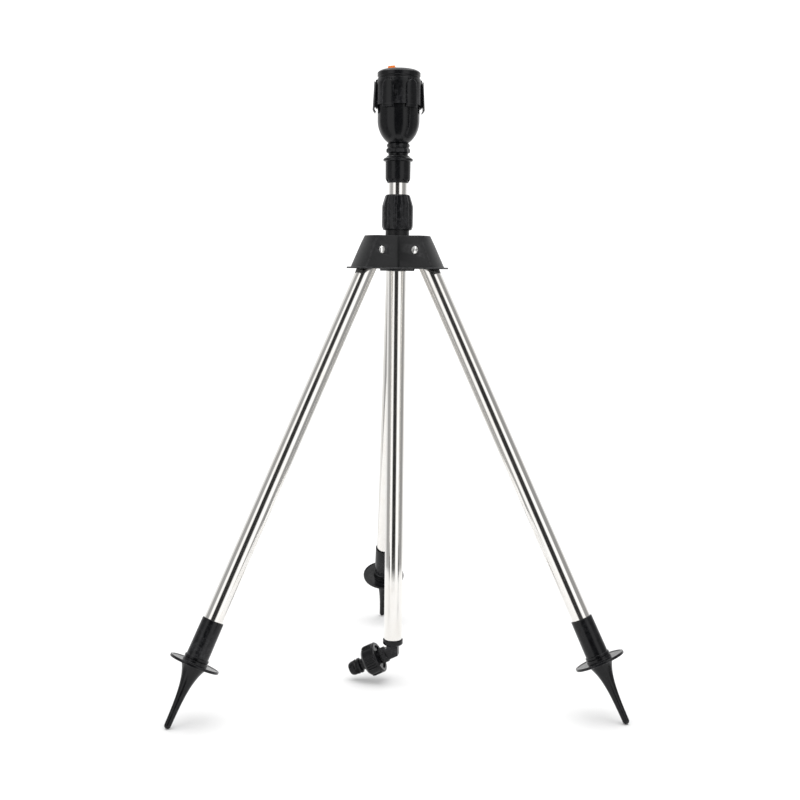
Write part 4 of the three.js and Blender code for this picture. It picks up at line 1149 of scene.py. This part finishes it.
@dataclass
class Head:
    """Gear-driven head: bowl, retaining collar with grip tabs, turning cap and nozzle."""

    shop: Workshop
    bowl: float = 21.5
    wall: float = 2.2
    depth: float = 22.6
    floor: float = 7.3
    semi_height: float = 26.2
    facets: int = 14
    groove_angle: float = math.radians(296)
    collar_top: float = 23.1
    collar_bottom: float = 23.7
    tabs: int = 6
    tab_half_width: float = 6.6
    wing_overhang: float = 4.3
    wing_flare: float = 1.0
    stand_off: float = 0.9
    tab_thickness: float = 1.25
    cap: float = 22.1

    def ellipsoid(self, z: float, floor: float, wall: float) -> float:
        """Radius of the bowl's wall at a height above its floor."""
        drop = max(0.0, floor + self.depth - z) / (self.semi_height - wall)
        return (self.bowl - wall) * math.sqrt(max(0.0, 1 - drop * drop))

    def bowl_shell(self) -> bmesh.types.BMesh:
        """Bowl with soft facets and one moulded seam groove."""
        span = Span.of("bowl")
        low, high = span.low.z, span.high.z
        floor = low + self.floor
        steps = 26
        outer, inner = [], []
        for k in range(steps + 1):
            swing = math.sin(math.radians(90 * k / steps))
            z = low + self.depth * swing
            outer.append((self.ellipsoid(z, low, 0), z))
            z = floor + (self.depth - self.floor) * swing
            inner.insert(0, (self.ellipsoid(z, low, self.wall), z))
        profile = [
            (7.5, low), *outer, (self.bowl, high, 0.4), (self.bowl - self.wall, high, 0.3), *inner,
            (7.5, floor)
        ]

        def relief(angle: float, height: float) -> float:
            """Facets that fade towards the foot, and the groove."""
            fade = min(1.0, max(0.0, (height - low - 3) / 12))
            facet = 0.10 * math.cos(self.facets * angle) * fade
            away = (angle - self.groove_angle + math.pi) % (2 * math.pi) - math.pi
            return facet - 0.75 * math.exp(-((away * self.bowl / 0.55) ** 2)) * fade

        return spun(profile, 240, ripple=relief)

    def skirt_radius(self, z: float, top: float, bottom: float) -> float:
        """Outside radius of the collar's skirt at a height."""
        return self.collar_top + (top - z) / (top - bottom) * (self.collar_bottom - self.collar_top)

    def tab(self, top: float, bottom: float, overhang: float, flare: float) -> bmesh.types.BMesh:
        """One arched grip tab about the +X direction, standing off the skirt.

        Args:
            top: Top of the collar.
            bottom: Bottom of the collar's skirt.
            overhang: How far the tab hangs below the skirt.
            flare: How much farther it stands off at its bottom.

        Returns:
            The tab's shell.
        """
        high, low = top - 2.8, bottom - overhang
        bevel = 1.9 if overhang else 1.1
        rows, columns = 40, 16
        bm = blank()
        outer, inner = [], []
        for i in range(rows + 1):
            z = high + (low - high) * i / rows
            drop = max(0.0, 1 - (high - z) / self.tab_half_width)
            half = self.tab_half_width * math.sqrt(max(0.02, 1 - drop * drop))
            hook = max(0.0, (low + 2.8 - z) / 2.8)
            lean = self.stand_off + flare * (top - z) / (top - bottom)
            face = self.skirt_radius(z, top, bottom) + lean + self.tab_thickness - bevel * hook
            front, back = [], []
            for k in range(columns + 1):
                across = half * (2 * k / columns - 1)
                edge = abs(2 * k / columns - 1) ** 6
                angle = across / face
                depth = face - 0.45 * edge
                under = face - self.tab_thickness
                front.append(bm.verts.new((depth * math.cos(angle), depth * math.sin(angle), z)))
                back.append(bm.verts.new((under * math.cos(angle), under * math.sin(angle), z)))
            outer.append(front)
            inner.append(back)
        for i in range(rows):
            for k in range(columns):
                bm.faces.new((outer[i][k], outer[i][k + 1], outer[i + 1][k + 1], outer[i + 1][k]))
                bm.faces.new((inner[i][k], inner[i + 1][k], inner[i + 1][k + 1], inner[i][k + 1]))
            for k in (0, columns):
                bm.faces.new((outer[i][k], outer[i + 1][k], inner[i + 1][k], inner[i][k]))
        for i in (0, rows):
            for k in range(columns):
                bm.faces.new((outer[i][k], outer[i][k + 1], inner[i][k + 1], inner[i][k]))
        bmesh.ops.recalc_face_normals(bm, faces=bm.faces)
        return bm

    def web(self, top: float, bottom: float) -> bmesh.types.BMesh:
        """Rib behind a tab that ties it to the skirt."""
        high, low = top - 4.5, bottom + 1.2
        near = self.collar_top - 1
        far = self.collar_bottom + self.stand_off + 0.4
        return block((far - near, 5.0, high - low), ((near + far) / 2, 0, (high + low) / 2))

    def collar(self) -> bmesh.types.BMesh:
        """Retaining collar: skirt with notches, grip ribs near its top, and its tabs."""
        bottom = Span.of("retaining_collar").low.z + self.wing_overhang
        top = Span.of("retaining_collar").high.z
        rim = Span.of("bowl").high.z
        skirt = spun([
            (self.collar_bottom - 1.5, bottom, 0.4), (self.collar_bottom, bottom, 0.5),
            (self.collar_bottom - 0.1, bottom + 2),
            (self.collar_top + 0.3, top - 4.5, 1.5), (self.collar_top - 0.9, top, 0.6), (19.4, top, 0.4),
            (19.4, top - 2.7, 0.2),
            (21.4, top - 2.7), (21.4, rim + GAP), (21.8, rim + GAP), (21.8, bottom + 5, 0.3),
        ], 192)
        notch = block((8, 12.2, 6.4), (self.collar_bottom, 0, bottom))
        skirt = combined(skirt, self.shop.ring(notch, self.tabs, math.pi / self.tabs), Cut.AWAY)
        wings = self.shop.ring(self.tab(top, bottom, self.wing_overhang, self.wing_flare), 2)
        flush = [self.shop.ring(self.tab(top, bottom, 0, 0), 2, math.radians(first)) for first in (60, 120)]
        tabs = together([wings, *flush, self.shop.ring(self.web(top, bottom), self.tabs)])
        pip = spun([(0, -1.3), (0.62, -1.3, 0.5), (0.62, 1.3, 0.5), (0, 1.3)], 16)
        spot = Matrix.Translation((self.collar_top + 0.1, 0, top - 2.6))
        spread = [moved(pip.copy(), turned_about(0.125 * k) @ spot) for k in (-1, 0, 1)]
        pip.free()
        pips = self.shop.ring(together(spread), self.tabs)
        return together([skirt, tabs, pips])

    def cap_shell(self) -> bmesh.types.BMesh:
        """Turning cap with a shallow band, a dished top and the spout's hole."""
        span = Span.of("turret_cap")
        low, top = span.low.z, span.high.z
        seat = Span.of("retaining_collar").high.z + GAP
        gear = Span.of("ring_gear")
        socket = (gear.high.x - gear.low.x) / 2 + GAP
        sleeve = socket - GAP - 1.6
        r = self.cap
        profile = [
            (socket, low, 0.2), (20.9, low, 0.3), (20.9, low + 3.3, 0.2), (19.0, low + 3.3, 0.2),
            (19.0, seat, 0.2),
            (r - 0.7, seat, 0.3), (r - 0.6, seat + 1.5, 0.3), (r, seat + 2.2, 0.4), (r, top - 3.4, 0.9),
            (r - 1.1, top - 2.2, 1.0),
            (r - 3.7, top - 0.8, 3), (r - 7, top, 4), (0, top),
        ]
        profile += [(0, top - 2.6), (sleeve, top - 2.6), (sleeve, low + 2.3), (socket, low + 2.3)]
        shell = spun_loop(profile)
        hole = moved(bar(4.1, -9, 9, 64), self.spout_place())
        return combined(shell, hole, Cut.AWAY)

    def spout_place(self) -> Matrix:
        """Where the spout stands in the cap, leaning outwards."""
        top = Span.of("turret_cap").high.z
        out = Span.of("nozzle").middle - AXIS
        turn = turned_about(math.atan2(out.y, out.x))
        return turn @ Matrix.Translation((self.cap / 2, 0, top - 1.3)) @ turned_about(math.radians(12), "Y")

    def spout(self) -> bmesh.types.BMesh:
        """Orange nozzle with a collar and a recessed mouth."""
        profile = [
            (2.2, -5, 0.3), (3.8, -5, 0.3), (3.8, 1.5, 0.2), (4.4, 1.6, 0.3), (4.4, 2.2, 0.3),
            (3.7, 2.4, 0.2), (3.55, 3.9, 0.5),
            (2.3, 3.9, 0.3), (1.7, 2.4, 0.3),
        ]
        return moved(spun(profile, 72), self.spout_place())

    def build(self) -> None:
        """Makes the head's pieces and dresses its hidden gear train."""
        shop = self.shop
        shop.fit("bowl_shell", self.bowl_shell(), Finish.MOULDING, "riser", ["bowl"])
        shop.fit("collar_with_tabs", self.collar(), Finish.MOULDING, "riser", ["retaining_collar"])
        shop.fit("cap_shell", self.cap_shell(), Finish.MOULDING, "turret", ["turret_cap"])
        shop.fit("spout", self.spout(), Finish.NOZZLE_ORANGE, "turret", ["nozzle"])
        for node in ("stator_plate", "turbine", "gear_plate", "idler_gear", "ring_gear"):
            shop.dress(node, Finish.GEAR_WHITE)
        shop.dress("turbine_axle", Finish.SCREW_STEEL)
        shop.dress("turret_washer", Finish.RUBBER)


def spun_loop(profile: Sequence[tuple]) -> bmesh.types.BMesh:
    """Turns a profile whose middle touches the axis twice, as a cap's does, into a closed shell.

    Args:
        profile: A closed profile with two neighbouring points on the axis.

    Returns:
        The shell.
    """
    first = next(i for i in range(len(profile)) if profile[i][0] <= 0 and profile[i - 1][0] > 0)
    return spun([*profile[first + 1:], *profile[:first + 1]])


# ------------------------------------------------------------------ inlet


@dataclass
class Inlet:
    """Ferrule, elbow, union nut and hose nipple at the riser's foot."""

    shop: Workshop
    waterway: float = 4.6
    elbow: float = 6.1
    boss: float = 8.2
    thread: float = 12.6
    nut: float = 16.75
    rib_groups: int = 4
    ribs: int = 5
    rib_pitch: float = math.radians(11)
    stem: float = 8.0

    def ferrule(self) -> bmesh.types.BMesh:
        """Cup on the riser's lower end."""
        span = Span.of("inlet_ferrule")
        low, high = span.low.z, span.high.z
        return spun([
            (5.9, low, 0.2), (9.4, low, 0.6), (10.7, low + 1.3, 0.8), (10.75, high - 0.5, 0.3),
            (10.5, high, 0.3),
            (9.8, high, 0.2), (9.8, low + 2), (5.9, low + 2),
        ])

    def square(self, inset: float = 0.0) -> list[Vector]:
        """Outline of the elbow's square bar with its bevelled edges, taken in by an inset."""
        half, edge = self.elbow - inset, self.elbow - 0.8 - inset
        corners = [(half, -edge), (half, edge), (edge, half), (-edge, half)]
        return [Vector(corner) for corner in corners + [(-x, -y) for x, y in corners]]

    def elbow_shell(self) -> bmesh.types.BMesh:
        """Square elbow with a mitred corner, a knurled boss and a threaded spigot."""
        level = inlet_place().translation.z
        lie = Matrix.Translation((0, 0, level)) @ inlet_place().to_3x3().to_4x4()
        heading = (lie.to_3x3() @ Vector((0, 0, 1))).normalized()
        corner = Vector((0, 0, level))
        mitre = (Vector((0, 0, 1)) - heading).normalized()
        rise = Span.of("inlet_ferrule").low.z - GAP
        near = inlet_reach("union_nut")[0]
        levels = [(level - 30, self.square()), (rise - 0.5, self.square()), (rise, self.square(0.5))]
        facing = turned_about(math.atan2(heading.y, heading.x))
        upright = trimmed(moved(stacked(levels), facing), corner, mitre)
        levels = [(-30, self.square()), (self.boss - 0.6, self.square()), (self.boss, self.square(0.6))]
        arm = trimmed(moved(stacked(levels), lie), corner + 0.05 * mitre, -mitre)
        spigot_top = Span.of("inlet_elbow").high.z
        spigot = spun([(0, rise - 1), (5.6, rise - 1), (5.6, spigot_top, 0.5), (0, spigot_top)])
        boss = [
            (0, self.boss - 1), (self.boss - 0.6, self.boss - 1), (self.boss, self.boss - 0.4, 0.3),
            (self.boss, near - 1.4, 0.3)
        ]
        boss += [(self.boss - 0.7, near - 0.9), (self.boss - 0.7, near + 1), (0, near + 1)]
        knurl = spun(
            boss, 168, ripple=lambda angle, z: 0.22 * math.cos(28 * angle) if z < near - 1 else 0.0
        )
        root = self.thread - 0.5
        screwed = spun([(0, near + 0.5), (root, near + 1.6, 0.3), (root, near + 6.2, 0.5), (0, near + 6.2)])
        whole = combined(combined(upright, spigot, Cut.JOIN), arm, Cut.JOIN)
        whole = combined(whole, moved(combined(knurl, screwed, Cut.JOIN), lie), Cut.JOIN)
        whole = combined(whole, bar(self.waterway, level, rise + 9, 64), Cut.AWAY)
        whole = combined(whole, moved(bar(self.waterway, 0, 60, 64), lie), Cut.AWAY)
        crests = moved(self.shop.crests(2.2, root, near + 2.0, 3.6, 0.42), lie)
        return together([whole, crests])

    def union(self) -> bmesh.types.BMesh:
        """Union nut: a plain ring at the elbow end and groups of grip ribs."""
        low, high = inlet_reach("union_nut")
        body = self.nut - 1.1
        shell = spun([
            (12.9, low, 0.3), (self.nut - 0.8, low, 0.6), (self.nut, low + 1.2, 0.7),
            (self.nut, low + 2.9, 0.5), (body, low + 3.6, 0.3),
            (body, high - 2.6, 0.9), (body - 2.6, high, 0.8), (8.3, high, 0.3), (8.3, high - 3.4),
            (12.9, high - 3.4),
        ], 144)
        ring = {
            "Groups": self.rib_groups, "Per Group": self.ribs, "Pitch": self.rib_pitch,
            "Radius": body - 0.25
        }
        size = {"Width": 0.85, "Depth": 1.3, "Start": low + 2.4, "Length": high - low - 4.4}
        ribs = self.shop.ribs.made({**ring, **size}, self.shop.paint[Finish.MOULDING])
        return together([shell, ribs])

    def nipple(self) -> bmesh.types.BMesh:
        """Quick-connect nipple with its latch collar and seal groove."""
        start, end = inlet_reach("hose_nipple")
        low, high = inlet_reach("nipple_seal")
        out = inlet_reach("union_nut")[1]
        r = self.stem
        return spun([
            (self.waterway, start, 0.2), (self.thread, start, 0.4), (self.thread, start + 2.6, 0.3),
            (r - 0.05, start + 2.6),
            (r - 0.05, out + 0.8, 0.3), (r - 1.8, out + 1.8, 0.4), (r - 1.8, out + 5.0, 0.4),
            (r + 0.2, out + 6.4, 0.3),
            (r + 0.2, out + 8.4, 0.4), (r - 0.4, out + 9.0, 0.2), (r - 0.4, low - GAP, 0.2),
            (5.4, low - GAP), (5.4, high + GAP),
            (r - 0.4, high + GAP, 0.2), (r - 0.4, end - 3.4, 1.6), (r - 1.3, end - 1.0, 0.8),
            (r - 2.3, end, 0.5), (self.waterway, end, 0.6),
        ])

    def seal(self) -> bmesh.types.BMesh:
        """Round rubber ring in the nipple's groove."""
        low, high = inlet_reach("nipple_seal")
        half = (high - low) / 2
        middle = 5.7 + half
        points = [
            (
                middle + half * math.cos(a), low + half + half * math.sin(a)
            ) for a in (k * math.pi / 8 for k in range(16))
        ]
        return spun(points)

    def build(self) -> None:
        """Makes the inlet's pieces."""
        shop = self.shop
        level = inlet_place()
        shop.fit("ferrule_cup", self.ferrule(), Finish.MOULDING, "riser", ["inlet_ferrule"])
        shop.fit("elbow_shell", self.elbow_shell(), Finish.MOULDING, "riser", ["inlet_elbow"])
        shop.fit("union_nut_ribbed", self.union(), Finish.MOULDING, "union_nut", ["union_nut"], level)
        shop.fit("nipple", self.nipple(), Finish.MOULDING, "riser", ["hose_nipple"], level)
        shop.fit("seal_ring", self.seal(), Finish.RUBBER, "riser", ["nipple_seal"], level)
        shop.dress("inlet_washer", Finish.RUBBER)


# ------------------------------------------------------------------ studio


WALLS = (
    (0.0, 1.0), (0.16, 0.95), (0.2, 0.42), (0.31, 0.42), (0.34, 1.25), (0.40, 1.25), (0.425, 0.03),
    (0.53, 0.03), (0.56, 1.3), (0.63, 1.3), (0.66, 0.36), (0.8, 0.36), (0.84, 0.95), (1.0, 1.0),
)
"""Where in a turn round the piece each mirrored wall begins or ends, and how bright it is there."""


@dataclass
class Studio:
    """Camera, pale floor and soft light."""

    distance: float = 1.2788
    height: float = 0.4414
    offset: float = -0.0701
    pitch: float = math.radians(6.03)
    yaw: float = math.radians(3.35)
    roll: float = math.radians(0.65)
    sensor: float = 36.0
    lens: float = 55.08
    floor_radius: float = 0.42
    floor_white: float = 0.70
    surround: float = 1.25

    def camera(self) -> None:
        """Places the camera in front of the sprinkler, a little above its middle."""
        data = bpy.data.cameras.new("studio_camera")
        data.sensor_width = self.sensor
        data.lens = self.lens
        camera = bpy.data.objects.new("studio_camera", data)
        bpy.context.scene.collection.objects.link(camera)
        level = math.cos(self.pitch)
        look = Vector((math.sin(self.yaw) * level, math.cos(self.yaw) * level, -math.sin(self.pitch)))
        side = look.cross(Vector((0, 0, 1))).normalized()
        up = side.cross(look)
        right = math.cos(self.roll) * side + math.sin(self.roll) * up
        above = -math.sin(self.roll) * side + math.cos(self.roll) * up
        turn = Matrix((right, above, -look)).transposed().to_4x4()
        spot = Vector((AXIS.x * MM + self.offset, AXIS.y * MM - self.distance, self.height))
        camera.matrix_world = Matrix.Translation(spot) @ turn
        bpy.context.scene.camera = camera

    def floor(self) -> None:
        """A plain pale disc under the sprinkler, just wide enough for its shadows."""
        bm = blank()
        bmesh.ops.create_circle(bm, cap_ends=True, segments=SIDES, radius=self.floor_radius)
        mesh = bpy.data.meshes.new("floor")
        bm.to_mesh(mesh)
        bm.free()
        shade = Shader("floor_white")
        shade.set(Base_Color=(self.floor_white, self.floor_white, self.floor_white, 1), Roughness=0.85)
        mesh.materials.append(shade.material)
        floor = bpy.data.objects.new("floor", mesh)
        bpy.context.scene.collection.objects.link(floor)

    def panel(
        self, name: str, spot: Sequence[float], aim: Sequence[float], size: tuple[float, float],
        power: float
    ) -> None:
        """One soft rectangular light.

        Args:
            name: The light's name.
            spot: Where it hangs, in metres.
            aim: The point that it faces.
            size: Its width and height.
            power: Its power in watts.
        """
        data = bpy.data.lights.new(name, "AREA")
        data.shape = "RECTANGLE"
        data.size, data.size_y = size
        data.energy = power
        lamp = bpy.data.objects.new(name, data)
        bpy.context.scene.collection.objects.link(lamp)
        lamp.location = spot
        lamp.rotation_euler = (Vector(aim) - Vector(spot)).to_track_quat("-Z", "Y").to_euler()

    def sky(self) -> None:
        """White surroundings, with dark and bright walls only in what the pieces mirror."""
        world = bpy.data.worlds.new("studio")
        bpy.context.scene.world = world
        world.use_nodes = True
        graph = Graph(world.node_tree)
        split = graph.add(
            "ShaderNodeSeparateXYZ", {0: graph.add("ShaderNodeTexCoord").outputs["Generated"]}
        )
        angle = graph.math("ARCTAN2", split.outputs["X"], graph.math("MULTIPLY", split.outputs["Y"], -1.0))
        ramp = graph.add(
            "ShaderNodeValToRGB", {0: graph.math("MULTIPLY_ADD", angle, 1 / (2 * math.pi), 0.5)}
        )
        stops = ramp.color_ramp.elements
        for where, _ in WALLS[1:-1]:
            stops.new(where)
        for stop, (where, level) in zip(stops, WALLS):
            stop.position = where
            stop.color = (level, level, level, 1)
        mirrored = graph.add("ShaderNodeLightPath").outputs["Is Glossy Ray"]
        white = (self.surround, self.surround, self.surround, 1)
        graph.feed(graph.tree.nodes["Background"].inputs[0], graph.mix(mirrored, white, ramp.outputs[0]))

    def build(self) -> None:
        """Sets the studio up."""
        self.camera()
        self.floor()
        self.panel("overhead", (0.0, -0.2, 2.6), (0, 0, 0), (2.6, 2.6), 46)
        self.sky()
        bpy.context.scene.view_settings.view_transform = "Standard"


def main() -> None:
    """Builds the sprinkler."""
    logging.basicConfig(level=logging.INFO, format="%(name)s: %(message)s")
    Studio().build()
    shop = Workshop()
    Hub(shop).build()
    for side in Side:
        Leg(shop, side).build()
    Clamp(shop).build()
    Riser(shop).build()
    Head(shop).build()
    Inlet(shop).build()


if __name__ == "__main__":
    main()
